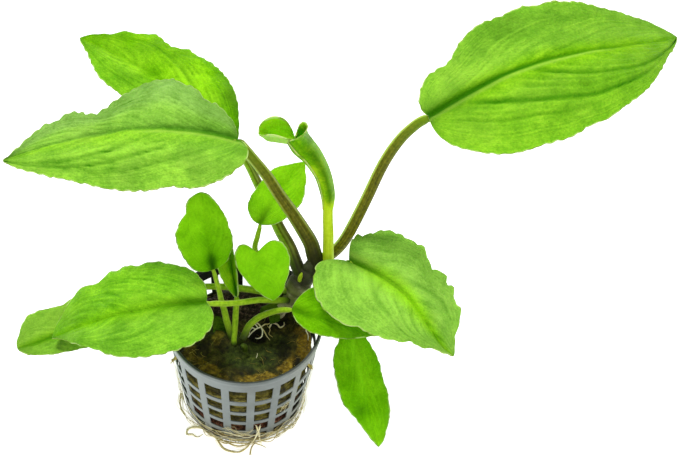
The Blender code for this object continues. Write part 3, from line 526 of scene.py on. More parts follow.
def half_width(t, full, sharp):
    """Half width of a blade at t from base to tip, 1 at its widest."""
    widest = full / (full + sharp)
    peak = widest ** full * (1 - widest) ** sharp
    return np.clip(t, 0, 1) ** full * np.clip(1 - t, 0, 1) ** sharp / peak


def blade_axes(spec):
    """Length, and the directions along, across and up from a blade."""
    chord = Vector(spec["tip"]) - Vector(spec["base"])
    along = chord.normalized()
    across = along.cross(Vector((0, 0, 1))).normalized()
    across = Matrix.Rotation(-math.radians(spec["roll"]), 3, along) @ across
    return chord.length, np.array(along), np.array(across), np.array(across.cross(along))


def margin_offset(spec, side, t, length, seed):
    """How far a margin stands off the plain outline, with a fine unevenness, in millimetres."""
    given = spec.get(side, (0, 0, 100, 0))
    knots = smooth_route([(at / 100, off / 10, 0) for at, off in zip(given[::2], given[1::2])], 4)
    walked = t * length
    none = np.zeros_like(t)
    *depths, spacing = spec.get("teeth", (0.3, 0.3, 5))
    drift = 0.7 * ripples(walked, none, 11.0, seed + 1)
    tooth = np.abs(np.sin(math.pi * walked / spacing + drift)) - 0.65
    fine = 0.22 * ripples(walked, none, 2.4, seed) + depths[side == "right"] * tooth
    return np.interp(t, knots[:, 0], knots[:, 1]) + fine


def by_half(spec, key, v):
    """A blade's value for the half that each v is on, left below 0 and right above."""
    return np.where(v < 0, *np.broadcast_to(spec.get(key, 0), 2))


def blade_sheet(spec, turn, v):
    """The middle surface of a blade on arrays of turn and v, with t and the half width there."""
    length, along, across, up = blade_axes(spec)
    t = (1 - np.cos(turn)) / 2
    width = by_half(spec, "width", v)
    reach = half_width(t, by_half(spec, "full", v), by_half(spec, "sharp", v))
    wave = np.sin(math.tau * spec.get("waves", 0) * t + by_half(spec, "phase", v))
    reach *= 1 + by_half(spec, "ripple", v) * wave * np.sin(turn)
    margin = np.where(v < 0, margin_offset(spec, "left", t, length, 9),
                      margin_offset(spec, "right", t, length, 7))
    reach = np.maximum(reach + margin * np.sin(turn) ** 0.5 / width * np.abs(v) ** 3, 0.0)
    y = width * reach * np.abs(v)
    back = reach + spec.get("lobe_round", 0.0) * (np.sqrt(reach) - reach)
    x = length * t - by_half(spec, "lobe", v) * length * back * (1 - t) ** 2 * np.abs(v)
    arch = 4 * x / length * (1 - x / length) * length
    tilt = np.radians(by_half(spec, "fold", v))
    lift = y * np.sin(tilt) - by_half(spec, "curl", v) * y * y / width + spec.get("bow", 0) * arch
    knots = np.array(spec.get("rib", ((0, 0), (1, 0))), float)
    drift = np.polyval(np.polyfit(knots[:, 0], knots[:, 1], len(knots) - 1), t)
    out = np.copysign(y * np.cos(tilt), v) + spec.get("sway", 0) * arch + drift * (1 - np.abs(v))
    points = (np.array(spec["base"], float) + x[..., None] * along + out[..., None] * across
              + lift[..., None] * up)
    return points, t, width * reach


def blade_samples(half, count):
    """Values of v from -1 to 1, closer together at the midrib and at the margins."""
    fine = np.linspace(0, 1, 400)
    weight = 1 + 2.2 * hump(fine * half, 0, 1.6) + 2.5 * hump((1 - fine) * half, 0, 0.9)
    total = np.cumsum(weight)
    total = (total - total[0]) / (total[-1] - total[0])
    v = np.interp(np.linspace(0, 1, count + 1), total, fine)
    return np.concatenate([-v[:0:-1], [0.0], v[1:]])


def blade_relief(spec, t, v, half, length, seed):
    """Waves and creases of the whole sheet, the midrib's groove, the painted shade in each hollow, and flow.

    flow is how far along the midrib the side vein through a point leaves it."""
    size = np.abs(v)
    flow = t + np.log(1 - VEIN_REACH * size) / VEIN_ARCH
    steep = np.hypot(1 / length, VEIN_REACH / VEIN_ARCH / ((1 - VEIN_REACH * size) * (half + 0.5)))
    side = np.sign(v)
    veins = max(5, round(length / VEIN_SPACING))
    scale = min(1.0, length / FULL_LENGTH)
    ends = np.sin(math.pi * t)

    def rough(grain, number, parts=7):
        return ripples(t * length, v * half, grain, seed + number, parts)

    inside = smooth_step(0, 0.2, size) * smooth_step(0, 0.25, 1 - size) * ends ** 0.5
    wander = 0.5 * rough(22.0, 2) / veins
    quilt = np.abs(np.sin(math.pi * veins * (flow + wander))) ** 0.8
    strength = 0.6 + 0.4 * rough(15.0, 3)
    sheet = 0.6 * scale * strength * (quilt - 0.6) * inside
    sheet += 0.5 * scale * rough(17.0, 0) * ends
    sheet += 0.16 * scale * rough(5.0, 4, 12) * inside
    sheet += 0.75 * scale * ripples(t * length, 5 * side, 9.0, seed + 1) * size ** 4 * ends ** 0.5
    # hollow is painted shade between the side veins, in the creases and, with tint, in the midrib's groove
    hollow = 0.75 * spec.get("mottle", 1.0) * np.clip(strength, 0, 1) * (1 - quilt) ** 1.6 * inside
    for crease_side, *crease in spec.get("creases", ()):
        leaves, inner, outer, depth = np.array(crease) / 100
        away = (flow - leaves) / steep
        mask = smooth_step(inner - 0.08, inner + 0.1, size) * smooth_step(0, 0.12, outer - size)
        mask = np.where(side == crease_side, mask, 0.0)
        sheet -= 0.55 * depth * (hump(away, 0, 1.1) - 0.6 * hump(away, -2.4, 2.2)) * mask
        hollow += max(depth, 0.0) * 0.8 * hump(away, 0.3, 0.9) * mask
    taper = (1 - t) ** 0.8
    groove = hump(size * half, 0, 0.5 + 0.9 * taper)
    # tint deepens the painted shade in the midrib's groove
    tint = spec.get("rib_tint", 0.5) * (0.2 + 0.9 * taper ** 1.5)
    return sheet, groove * (0.12 + 0.75 * taper), hollow + groove * tint, flow


def blade_tone(spec, t, v, across):
    """How much lighter each place of a blade is. across is its distance from the midrib, 1 at most."""
    tone = by_half(spec, "tone", v) + spec.get("core", 0.0) * hump(across, 0, 0.33)
    tone = tone + spec.get("base_tone", 0.0) * smooth_step(0.35, 0.1, t)
    # some spots are painted highlights and shade
    for spot in spec.get("spots", ()):
        at_t, at_v, long, wide, amount = np.array(spot) / 100
        tone = tone + amount * hump(t, at_t, long) * hump(v, at_v, wide)
    return tone


def blade(name, number):
    """A leaf blade: a thin closed sheet with sunken veins, a raised midrib below and a wavy edge."""
    spec = BLADES[name]
    length = blade_axes(spec)[0]
    widest = max(spec["width"])
    scale = min(1.0, length / FULL_LENGTH)
    turn = np.linspace(0, math.pi, max(30, round(1.35 * length / CELL)) + 1)[:, None]
    v = blade_samples(widest, max(12, round(widest / CELL)))[None, :]
    turn, v = np.broadcast_arrays(turn, v)
    points, t, half = blade_sheet(spec, turn, v)
    sheet, groove, hollow, flow = blade_relief(spec, t, v, half, length, 10 * number)

    normal = np.cross(np.gradient(points, axis=1), np.gradient(points, axis=0))
    size = np.linalg.norm(normal, axis=2)
    normal /= np.where(size > 1e-9, size, 1)[..., None]
    normal[:2], normal[-2:] = normal[2], normal[-3]
    body = (1 - np.abs(v) ** 8) * smooth_step(0, 0.02, t) * smooth_step(0, 0.02, 1 - t)
    y = np.abs(v) * half
    rib = (0.9 * scale + 0.15) * (1 - t) ** 0.9 * hump(y, 0, 0.7 + 1.1 * (1 - t))
    middle = points + normal * (sheet * body)[..., None]
    top = middle + normal * (body * (BLADE_HALF - groove * scale))[..., None]
    bottom = middle - normal * (body * (BLADE_HALF + groove * scale * 0.6 + rib))[..., None]
    above = np.arange(v.size).reshape(v.shape)
    above[0], above[-1] = above[0, 0], above[-1, 0]
    below = np.arange(v.size).reshape(v.shape) + v.size
    below[:, 0], below[:, -1] = above[:, 0], above[:, -1]
    below[0], below[-1] = above[0], above[-1]

    # pale is a painted sheen, and ridge a painted highlight beside the midrib's groove
    core, pale_from = spec.get("pale_core", 0.0), by_half(spec, "pale_from", v)
    pale = core + (1 - core) * smooth_step(pale_from, pale_from + 0.35, np.abs(v))
    ridge_side, ridge_from, ridge_to = spec.get("ridge", (1, 0.0, 0.0))
    ridge = 0.6 * hump(v * half * ridge_side, 0.9 + 1.2 * (1 - t), 0.4 + 0.5 * (1 - t))
    ridge *= smooth_step(ridge_from - 0.05, ridge_from + 0.05, t)
    # hollow and dark are painted shade, and tone is partly painted light and shade
    fields = dict(
        t=t, v=v, flow=flow, hollow=np.clip(hollow, 0, 1.2), pale=pale * by_half(spec, "pale", v),
        dark=spec.get("dark", 0.0) * hump(t, 0.06, 0.2) * hump(y / widest, 0, 0.15),
        ridge=ridge * smooth_step(ridge_to, ridge_to - 0.15, t), edge=(1 - np.abs(v)) * half, leaf=number,
        tone=blade_tone(spec, t, v, y / widest), bloom=spec.get("bloom", 1.0),
        fresh=spec.get("fresh", 0.0), mottle=spec.get("mottle", 0.8))
    fields = {key: np.tile(np.broadcast_to(value, v.shape).ravel(), 2) for key, value in fields.items()}
    fields["under"] = np.repeat((0.0, 1.0), v.size)
    return add_mesh(f"leaf_{name}", np.vstack([top.reshape(-1, 3), bottom.reshape(-1, 3)]),
                    grid_faces(above) + grid_faces(below, flip=True), fields)


class Finish:
    """Builds one node material. Sockets or plain values can be given as inputs."""

    def __init__(self, name, roughness, specular):
        self.made = bpy.data.materials.new(name)
        self.made.use_nodes = True
        self.tree = self.made.node_tree
        self.shader = self.tree.nodes["Principled BSDF"]
        self.set(Roughness=roughness, Specular_IOR_Level=specular)

    def give(self, socket, value):
        """Link a socket or set a plain value; a colour of three gets an alpha."""
        if isinstance(value, bpy.types.NodeSocket):
            self.tree.links.new(value, socket)
        elif isinstance(value, tuple) and len(value) == 3 and socket.type == "RGBA":
            socket.default_value = (*value, 1.0)
        else:
            socket.default_value = value

    def set(self, **sockets):
        for key, value in sockets.items():
            self.give(self.shader.inputs[key.replace("_", " ")], value)

    def node(self, kind, inputs, output=0, **settings):
        made = self.tree.nodes.new("ShaderNode" + kind)
        for key, value in settings.items():
            setattr(made, key, value)
        for key, value in inputs.items():
            self.give(made.inputs[key], value)
        return made.outputs[output]

    def field(self, name):
        return self.node("Attribute", {}, output="Fac", attribute_name=name)

    def math(self, operation, first, second, third=0.0):
        return self.node("Math", {0: first, 1: second, 2: third}, operation=operation)

    def times(self, first, second):
        return self.math("MULTIPLY", first, second)

    def weigh(self, first, share, second, rest):
        """first times share plus second times rest."""
        return self.math("MULTIPLY_ADD", first, share, self.times(second, rest))

    def nudge(self, value, by, amount):
        """A value moved by how far another is from a half."""
        return self.math("MULTIPLY_ADD", self.math("SUBTRACT", by, 0.5), amount, value)

    def spread(self, value, low, high, to_low=0.0, to_high=1.0):
        return self.node("MapRange", {"Value": value, "From Min": low, "From Max": high,
                                      "To Min": to_low, "To Max": to_high})

    def point(self, *parts):
        """A vector of up to three values, each with what it is multiplied by."""
        return self.node("CombineXYZ", {k: self.times(*part) for k, part in enumerate(parts)})

    def position(self):
        return self.node("TexCoord", {}, output="Object")

    def axis(self, k):
        """One coordinate of the piece: 0, 1 or 2 for x, y or z."""
        return self.node("SeparateXYZ", {0: self.position()}, output=k)

    def noise(self, scale, detail=3.0, vector=None, roughness=0.5):
        return self.node("TexNoise", {"Vector": vector or self.position(), "Scale": scale,
                                      "Detail": detail, "Roughness": roughness}, output="Fac")

    def mix(self, factor, first, second):
        return self.node("Mix", {0: factor, 6: first, 7: second}, 2, data_type="RGBA")

    def ramp(self, factor, *stops):
        made = self.tree.nodes.new("ShaderNodeValToRGB")
        self.give(made.inputs[0], factor)
        bar = made.color_ramp.elements
        while len(bar) < len(stops):
            bar.new(0.5)
        for stop, (place_at, colour) in zip(bar, stops):
            stop.position = place_at
            stop.color = (*colour, 1.0)
        return made.outputs[0]

    def bump(self, height, strength, distance):
        return self.node("Bump", {"Height": height, "Strength": strength, "Distance": distance})


def leaf_finish(name, deep, mid, lime, through=0.1):
    """Satin leaf: mottled greens that drift along the veins, matt patches, painted shade in the hollows
    and at the base, a painted sheen and painted highlights, and a light edge.

    through is how much light passes into the sheet."""
    f = Finish(name, 0.5, 0.1)
    t, v, flow, leaf, tone = (f.field(key) for key in ("t", "v", "flow", "leaf", "tone"))
    patches = f.noise(160.0, 4.0, roughness=0.6)
    grain = f.noise(1300.0, 3.0, roughness=0.65)
    streaks = f.noise(1.0, 3.0, f.point((flow, 22.0), (v, 2.6), (leaf, 1.0)), 0.5)
    cells = f.noise(1.3, 2.0, f.point((t, 90.0), (v, 28.0), (leaf, 1.0)), 0.7)
    drift = f.nudge(f.weigh(streaks, 0.4, patches, 0.6), cells, 0.3)
    drift = f.nudge(drift, grain, 0.36)
    drift = f.math("ADD", f.nudge(0.5, drift, f.field("mottle")), tone)
    colour = f.ramp(drift, (0.28, tuple(0.6 * c for c in deep)), (0.41, deep), (0.5, mid), (0.6, lime),
                    (0.74, tuple(1.3 * c for c in lime)))
    green = f.ramp(drift, (0.28, (0.05, 0.26, 0.0)), (0.41, (0.1, 0.42, 0.0)), (0.5, (0.15, 0.56, 0.001)),
                   (0.61, (0.22, 0.72, 0.003)), (0.74, (0.34, 0.88, 0.01)))
    colour = f.mix(f.field("fresh"), colour, green)
    matt = f.times(f.spread(f.noise(55.0), 0.45, 0.62, 0.0, 0.4), f.field("bloom"))
    colour = f.mix(matt, colour, f.mix(drift, (0.15, 0.34, 0.004), (0.34, 0.57, 0.05)))
    # pale greys the blades as a painted sheen, the rolled leaf as a painted highlight, and the hood's near
    # wall
    pale = f.mix(f.spread(drift, 0.32, 0.68), (0.155, 0.34, 0.045), (0.38, 0.69, 0.14))
    # hollow and dark are painted shade and ridge a painted highlight; under is the paler underside
    for field, share, over in (
            ("pale", 1.0, pale), ("hollow", 0.85, (0.032, 0.2, 0.0005)), ("ridge", 1.0, (0.4, 0.68, 0.08)),
            ("dark", 1.0, (0.018, 0.105, 0.0005)), ("under", 0.7, (0.19, 0.38, 0.06))):
        colour = f.mix(f.times(f.field(field), share), colour, over)
    edge = f.mix(f.spread(f.noise(260.0), 0.48, 0.56), (0.62, 0.8, 0.26), (0.26, 0.4, 0.05))
    colour = f.mix(f.spread(f.field("edge"), 0.15, 0.5, 0.85, 0.0), colour, edge)
    height = f.math("MULTIPLY_ADD", grain, 0.6, f.weigh(cells, 0.5, streaks, 0.4))
    f.set(Specular_Tint=(0.65, 1.0, 0.05), Base_Color=colour, Normal=f.bump(height, 0.7, 0.001),
          Roughness=f.spread(streaks, 0.3, 0.7, 0.42, 0.58))
    f.set(Subsurface_Weight=through, Subsurface_Radius=(0.4, 1.0, 0.1), Subsurface_Scale=0.0008)
    return f.made


def stalk_finish(name, brown):
    """A sheathing stalk: pale margin lines, green or brown flanks and fine lengthwise ribs."""
    f = Finish(name, 0.45, 0.1)
    stripes = f.noise(1.0, 3.0, f.point(*((f.field(key), 5.0) for key in ("front", "side", "along"))))
    mixed = f.weigh(f.noise(900.0, 2.0), 0.5, stripes, 0.5)
    green = f.ramp(mixed, (0.3, (0.14, 0.31, 0.004)), (0.5, (0.29, 0.51, 0.012)),
                   (0.7, (0.45, 0.68, 0.03)))
    lime = f.ramp(mixed, (0.3, (0.4, 0.58, 0.008)), (0.5, (0.52, 0.72, 0.015)),
                  (0.7, (0.62, 0.8, 0.04)))
    colour = f.mix(f.field("lime"), green, lime)
    if brown:
        flank = f.ramp(mixed, (0.32, (0.06, 0.062, 0.003)), (0.5, (0.125, 0.13, 0.004)),
                       (0.68, (0.24, 0.215, 0.014)))
        flank = f.mix(f.field("top"), flank, (0.15, 0.29, 0.004))
        colour = f.mix(f.field("wing"), flank, colour)
    colour = f.mix(f.field("line"), colour, (0.4, 0.5, 0.08))
    # painted shade at the foot of the stalk
    colour = f.mix(f.field("foot"), colour, (0.02, 0.022, 0.006) if brown else (0.03, 0.042, 0.008))
    f.set(Base_Color=colour, Normal=f.bump(mixed, 0.35, 0.0004))
    f.set(Subsurface_Weight=0.08, Subsurface_Radius=(0.5, 0.8, 0.15), Subsurface_Scale=0.001)
    return f.made


def stem_finish():
    """Grey ringed stem with darker scars, a film of algae, and painted shade on its top under the crown."""
    f = Finish("stem bark", 0.6, 0.25)
    ring = f.field("ring")
    mottle = f.noise(420.0, 5.0, roughness=0.7)
    colour = f.ramp(mottle, (0.32, (0.1, 0.095, 0.04)), (0.5, (0.5, 0.47, 0.25)),
                    (0.7, (0.8, 0.78, 0.5)))
    colour = f.mix(f.spread(f.noise(130.0), 0.42, 0.66), colour, (0.22, 0.26, 0.06))
    colour = f.mix(f.times(ring, 0.5), colour, (0.02, 0.02, 0.007))
    colour = f.mix(f.times(f.field("lip"), 0.45), colour, (0.3, 0.33, 0.13))
    # painted shade: the top of the stem under the crown is darkened
    colour = f.mix(f.spread(f.axis(2), 0.0495, 0.053, 0.0, 0.92), colour, (0.02, 0.022, 0.005))
    f.set(Base_Color=colour, Normal=f.bump(f.math("SUBTRACT", mottle, ring), 0.8, 0.0008))
    return f.made


def pot_finish():
    """Matt blue-grey plastic with painted shade inside, and grime at the foot.

    Both flanks are lighter: towards -X more so, as painted light, and towards +X with a yellower grey."""
    f = Finish("pot plastic", 0.42, 0.3)
    film = f.noise(140.0, 4.0)
    colour = f.ramp(film, (0.3, (0.105, 0.122, 0.114)), (0.52, (0.142, 0.164, 0.154)),
                    (0.72, (0.185, 0.213, 0.204)))
    # painted light: the plastic is lighter towards -X
    colour = f.mix(f.spread(f.axis(0), 0.002, -0.024, 0.0, 0.85), colour, (0.33, 0.37, 0.36))
    colour = f.mix(f.spread(f.axis(0), 0.014, 0.026, 0.0, 0.5), colour, (0.3, 0.31, 0.26))
    # painted shade on the inner faces of the net and the rim's inner face; the rim's top is darkened too
    colour = f.mix(f.field("inner"), colour, (0.02, 0.024, 0.018))
    grime = f.times(f.spread(f.axis(2), 0.0, 0.014, 0.9, 0.0), film)
    f.set(Base_Color=f.mix(grime, colour, (0.15, 0.13, 0.06)),
          Normal=f.bump(f.noise(2600.0, 2.0), 0.12, 0.0002),
          Roughness=f.spread(film, 0.3, 0.7, 0.36, 0.52))
    return f.made


def wool_finish():
    """Wet mineral wool: ochre strands, algae and near-black patches on top, red-brown grit lower down."""
    f = Finish("wet wool", 0.7, 0.15)
    fine = f.noise(900.0, 5.0, roughness=0.65)
    blot = f.noise(330.0, 4.0, roughness=0.6)
    soft = f.weigh(fine, 0.45, blot, 0.55)
    strand = f.noise(1.0, 4.0, f.point((f.axis(0), 300.0), (f.axis(1), 300.0), (f.axis(2), 1300.0)), 0.7)
    mixed = f.weigh(fine, 0.45, strand, 0.55)
    side = f.ramp(mixed, (0.34, (0.02, 0.016, 0.002)), (0.5, (0.19, 0.16, 0.02)),
                  (0.66, (0.4, 0.35, 0.07)))
    clay = f.ramp(fine, (0.33, (0.02, 0.008, 0.004)), (0.5, (0.17, 0.055, 0.02)),
                  (0.7, (0.42, 0.2, 0.11)))
    low = f.spread(f.math("MULTIPLY_ADD", blot, 0.008, f.axis(2)), 0.0175, 0.0135)
    side = f.mix(low, side, clay)
    side = f.mix(f.spread(f.noise(150.0), 0.5, 0.6, 0.0, 0.8), side, (0.02, 0.018, 0.005))
    top = f.ramp(soft, (0.36, (0.008, 0.008, 0.002)), (0.5, (0.042, 0.038, 0.006)),
                 (0.66, (0.13, 0.11, 0.02)))
    patches = (
        ("grit", fine, (0.36, (0.006, 0.003, 0.003)), (0.52, (0.04, 0.022, 0.018)), (0.68, (0.2, 0.12, 0.1))),
        ("algae", soft, (0.36, (0.01, 0.014, 0.003)), (0.5, (0.036, 0.052, 0.007)),
         (0.66, (0.1, 0.13, 0.018))),
        ("ochre", soft, (0.34, (0.045, 0.028, 0.002)), (0.49, (0.22, 0.14, 0.007)),
         (0.63, (0.5, 0.33, 0.03))))
    for field, noise, *stops in patches:
        top = f.mix(f.field(field), top, f.ramp(noise, *stops))
    # near-black patches on the top
    top = f.mix(f.field("mud"), top, (0.0035, 0.0035, 0.0015))
    f.set(Base_Color=f.mix(f.field("wall"), top, side), Normal=f.bump(mixed, 0.9, 0.0009))
    return f.made


def fibre_finish(name, *stops):
    """Thin strands whose colour follows each strand's own tone."""
    f = Finish(name, 0.55, 0.35)
    f.set(Base_Color=f.ramp(f.nudge(f.field("tone"), f.noise(500.0), 0.5), *stops))
    return f.made


def floor_finish():
    """Plain white sheet."""
    f = Finish("floor sheet", 0.9, 0.1)
    f.set(Base_Color=f.ramp(f.noise(3.0, 2.0), (0.3, (0.86, 0.86, 0.86)), (0.7, (0.9, 0.9, 0.9))),
          Emission_Color=(1.0, 1.0, 1.0), Emission_Strength=0.75)
    return f.made


def wall_radius(z):
    """Outer radius of the pot at a height."""
    return FOOT_RADIUS + (MOUTH_RADIUS - FOOT_RADIUS) * z / POT_HEIGHT


def window_half(radius):
    """Half a window's angle in degrees, so that the ribs keep their width up the wall."""
    return 180 / COLUMNS - math.degrees(RIB_WIDTH / 2 / max(radius, FOOT_RADIUS))


def bake(obj):
    """Swap an object's mesh for what its modifiers make of it."""
    depsgraph = bpy.context.evaluated_depsgraph_get()
    baked = bpy.data.meshes.new_from_object(obj.evaluated_get(depsgraph))
    obj.modifiers.clear()
    obj.data = baked
    places = np.zeros(len(baked.vertices) * 3)
    baked.vertices.foreach_get("co", places)
    return baked, places.reshape(-1, 3) / MM


def net_pot(finish):
    """The pot: a turned sheet without its windows, thickened inwards, under a stouter rim."""
    rings = [(wall_radius(POT_HEIGHT), POT_HEIGHT)]
    windows = set()
    for top, bottom in WINDOW_ROWS:
        windows.add(len(rings))
        rings += [(wall_radius(top), top), (wall_radius(bottom), bottom)]
    windows.add(len(rings) + 1)
    outer_slot, inner_slot = SLOT_RADII
    rings += [(FOOT_RADIUS, 0.0), (outer_slot, 0.0), (inner_slot, 0.0), (inner_slot / 2, 0.0), (0.0, 0.0)]
    pitch = 360.0 / COLUMNS
    steps = WINDOW_STEPS + RIB_STEPS
    columns = -90 + COLUMN_TURN + pitch * np.arange(COLUMNS)[:, None]
    points = []
    for radius, height in rings:
        half = window_half(radius)
        across = np.concatenate([np.linspace(-half, half, WINDOW_STEPS + 1)[:-1],
                                 np.linspace(half, pitch - half, RIB_STEPS + 1)[:-1]])
        angle = np.radians((columns + across).ravel())
        points.append(np.stack([radius * np.cos(angle), radius * np.sin(angle),
                                np.full(len(angle), height)], 1))
    index = ring_grid(len(rings), COLUMNS * steps)
    index[-1] = index[-1, 0]
    faces = []
    for row in range(len(rings) - 1):
        for k in range(COLUMNS * steps):
            if not (k % steps < WINDOW_STEPS and row in windows):
                faces += grid_faces(index[row:row + 2, k:k + 2], flip=True)
    points = np.vstack(points)
    obj = add_mesh("pot_net", points, faces, {"inner": np.zeros(len(points))})
    thicken(obj, SHELL, -1.0).use_quality_normals = True
    round_edges = obj.modifiers.new("edges", "BEVEL")
    round_edges.width = 0.14 * MM
    round_edges.segments = 2
    round_edges.limit_method = "ANGLE"
    round_edges.angle_limit = math.radians(40)
    round_edges.harden_normals = True
    baked, at = bake(obj)
    # inner marks the inner faces, which the finish darkens as painted shade
    depth = wall_radius(at[:, 2]) - np.hypot(at[:, 0], at[:, 1])
    inner = smooth_step(0.2, 0.5, depth) * (at[:, 2] > 1.2)
    baked.attributes["inner"].data.foreach_set("value", inner.astype(np.float32))
    place(obj, "pot", finish, "net_pot")
    place(rim(), "pot", finish)


def rim():
    """The thicker lip round the mouth, with how dark it is at each point of its section: painted shade on its
    inner face, and a darker top.
    """
    outer = wall_radius(POT_HEIGHT)
    section = ((0.02, 44.4, 0.0), (0.05, 45.6, 0.0), (-0.05, 45.9, 0.1), (-0.3, 46.0, 0.85),
               (-0.9, 46.0, 0.9), (-1.15, 45.85, 0.9), (-1.2, 45.5, 1.0), (-1.15, 44.6, 1.0),
               (-0.6, 43.9, 1.0))
    angle = np.linspace(0, math.tau, RIM_SIDES + 1)[:-1]
    points = [((outer + out) * math.cos(a), (outer + out) * math.sin(a), z) for out, z, _ in section
              for a in angle]
    index = ring_grid(len(section), RIM_SIDES)
    return add_mesh("pot_rim", points, grid_faces(np.vstack([index, index[:1]])),
                    {"inner": np.repeat([dark for *_, dark in section], RIM_SIDES)})


def plug_height(x, y):
    """Height of the wool's uneven, rough top."""
    lift = 0.6 * np.sin(0.5 * x) * np.cos(0.6 * y)
    for at_x, at_y, wide, deep, height in PLUG_LUMPS:
        lift = lift + height * np.exp(-((x - at_x) / wide) ** 2 - ((y - at_y) / deep) ** 2)
    rough = 0.3 * ripples(x, y, 5.0, 3) + 0.2 * ripples(x, y, 1.9, 4) + 0.1 * ripples(x, y, 0.9, 5)
    return PLUG_TOP + lift + rough


def plug_patches(kind, x, y):
    """How much a kind of patch covers each place on the plug, with frayed outlines."""
    x = x + 0.9 * ripples(x, y, 4.0, 15)
    y = y + 0.9 * ripples(x, y, 4.0, 16)
    cover = np.zeros(np.shape(x))
    for at_x, at_y, wide, deep, turn, strength in PLUG_PATCHES[kind]:
        cosine, sine = math.cos(math.radians(turn)), math.sin(math.radians(turn))
        u = ((x - at_x) * cosine + (y - at_y) * sine) / wide
        w = ((y - at_y) * cosine - (x - at_x) * sine) / deep
        cover = np.maximum(cover, strength * smooth_step(1.3, 0.7, np.hypot(u, w)))
    return cover


def wool_plug(finish):
    """The plug: a turned solid with a rough top and a fibrous wall."""
    inner, upper = (wall_radius(z) - WALL - PLUG_GAP for z in (PLUG_BOTTOM, PLUG_TOP))
    wall_z = np.linspace(PLUG_BOTTOM, PLUG_TOP - 1.5, 60)
    wall_r = inner + (upper - inner) * (wall_z - PLUG_BOTTOM) / (PLUG_TOP - 1.5 - PLUG_BOTTOM)
    top_r = np.linspace(upper - 0.5, 0, 56)
    radius = np.concatenate([[0.0, inner * 0.5], wall_r, top_r])
    height = np.concatenate([[PLUG_BOTTOM, PLUG_BOTTOM], wall_z, np.full(len(top_r), PLUG_TOP)])
    is_top = np.arange(len(radius)) >= len(wall_r) + 2
    is_wall = np.concatenate([[0, 0], smooth_step(0, 2, np.arange(len(wall_r))), np.zeros(len(top_r))])
    angle = np.arange(PLUG_SIDES) * math.tau / PLUG_SIDES
    arc, level = angle[None, :] * 24, height[:, None]
    dent = 0.28 * ripples(arc, level, 3.5, 8) + 0.16 * ripples(arc, level, 1.3, 9)
    r = radius[:, None] - is_wall[:, None] * np.clip(0.35 + dent, 0, 1.2)
    x, y = r * np.cos(angle), r * np.sin(angle)
    rim_drop = 1.4 * smooth_step(upper - 3.2, upper - 0.5, radius)[:, None]
    z = np.where(is_top[:, None], plug_height(x, y) - rim_drop, level)
    index = ring_grid(*x.shape)
    index[0], index[-1] = index[0, 0], index[-1, 0]
    fields = {kind: plug_patches(kind, x, y).ravel() for kind in PLUG_PATCHES}
    fields["wall"] = np.where(is_top, 0.0, 1.0).repeat(PLUG_SIDES)
    obj = add_mesh("plug_wool", np.stack([x, y, z], 2).reshape(-1, 3), grid_faces(index), fields)
    return place(obj, "wool", finish, "wool_plug")


def wavy_strand(rng, start, heading, length, radius, lift):
    """A short strand that wanders over the wool and turns away from the pot's wall."""
    points = []
    x, y = start
    stride = length / STRAND_STEPS
    for step in range(STRAND_STEPS):
        z = plug_height(np.array(x), np.array(y)) + lift * math.sin(math.pi * step / (STRAND_STEPS - 1))
        points.append((x, y, float(z) + 0.05))
        heading += rng.normal(0, 0.9) / 2
        x += stride * math.cos(heading)
        y += stride * math.sin(heading)
        if math.hypot(x, y) > wall_radius(PLUG_TOP) - WALL - 1.0:
            heading += 2.0
            x = points[-1][0] + stride * math.cos(heading)
            y = points[-1][1] + stride * math.sin(heading)
    radii = (radius, radius, radius * 0.4)
    return tube_part(smooth_route(points, 2), radii, HAIR_SIDES, rng.uniform(0, 1))


def wool_strands(finish):
    """Loose ochre and olive strands on the wool, and tufts that stick out of two windows."""
    rng = np.random.default_rng(21)
    parts = []
    while len(parts) < WOOL_STRANDS:
        angle, radius = rng.uniform(0, math.tau), 23.5 * math.sqrt(rng.uniform(0, 1))
        x, y = radius * math.cos(angle), radius * math.sin(angle)
        if rng.uniform(0, 1) > 0.06 + plug_patches("ochre", np.array(x), np.array(y)):
            continue
        parts.append(wavy_strand(rng, (x, y), rng.uniform(0, math.tau), rng.uniform(2, 5),
                                 rng.uniform(0.04, 0.075), rng.uniform(0.0, 0.3)))
    for at, out in TUFTS:
        for _ in range(TUFT_STRANDS):
            route = np.array(at) + np.outer((0, 0.35, 0.7, 1), out) * rng.uniform(0.5, 1.1)
            route[1:] += rng.normal(0, 0.45, (3, 3)) * ((0.5,), (0.8,), (1.2,))
            parts.append(tube_part(smooth_route(route, 3), (0.12, 0.11, 0.04), HAIR_SIDES,
                                   rng.uniform(0.8, 1.3)))
    return place(add_mesh("plug_strands", *join_parts(parts)), "wool", finish)


def rootlets(finish):
    """The star of young white roots in the hollow of the plug, and a few strands round it."""
    parts = [tube_part(smooth_route(route, 6), (radius, radius, 0.5 * radius), ROOTLET_SIDES, tone)
             for tone, radius, route in ROOTLETS]
    return place(add_mesh("plug_rootlets", *join_parts(parts)), "root", finish)


def old_leaves(finish):
    """Small old leaves that lie on the wool behind and beside the young shoots."""
    for name, lower, upper in OLD_LEAVES:
        middle = (np.array(lower) + np.array(upper)) / 2 - (0, 0, 0.4)
        place(loft(name, (lower, middle, upper), 0.35, pale=0.0, fresh=0.0, edge=5.0), "leaf", finish)


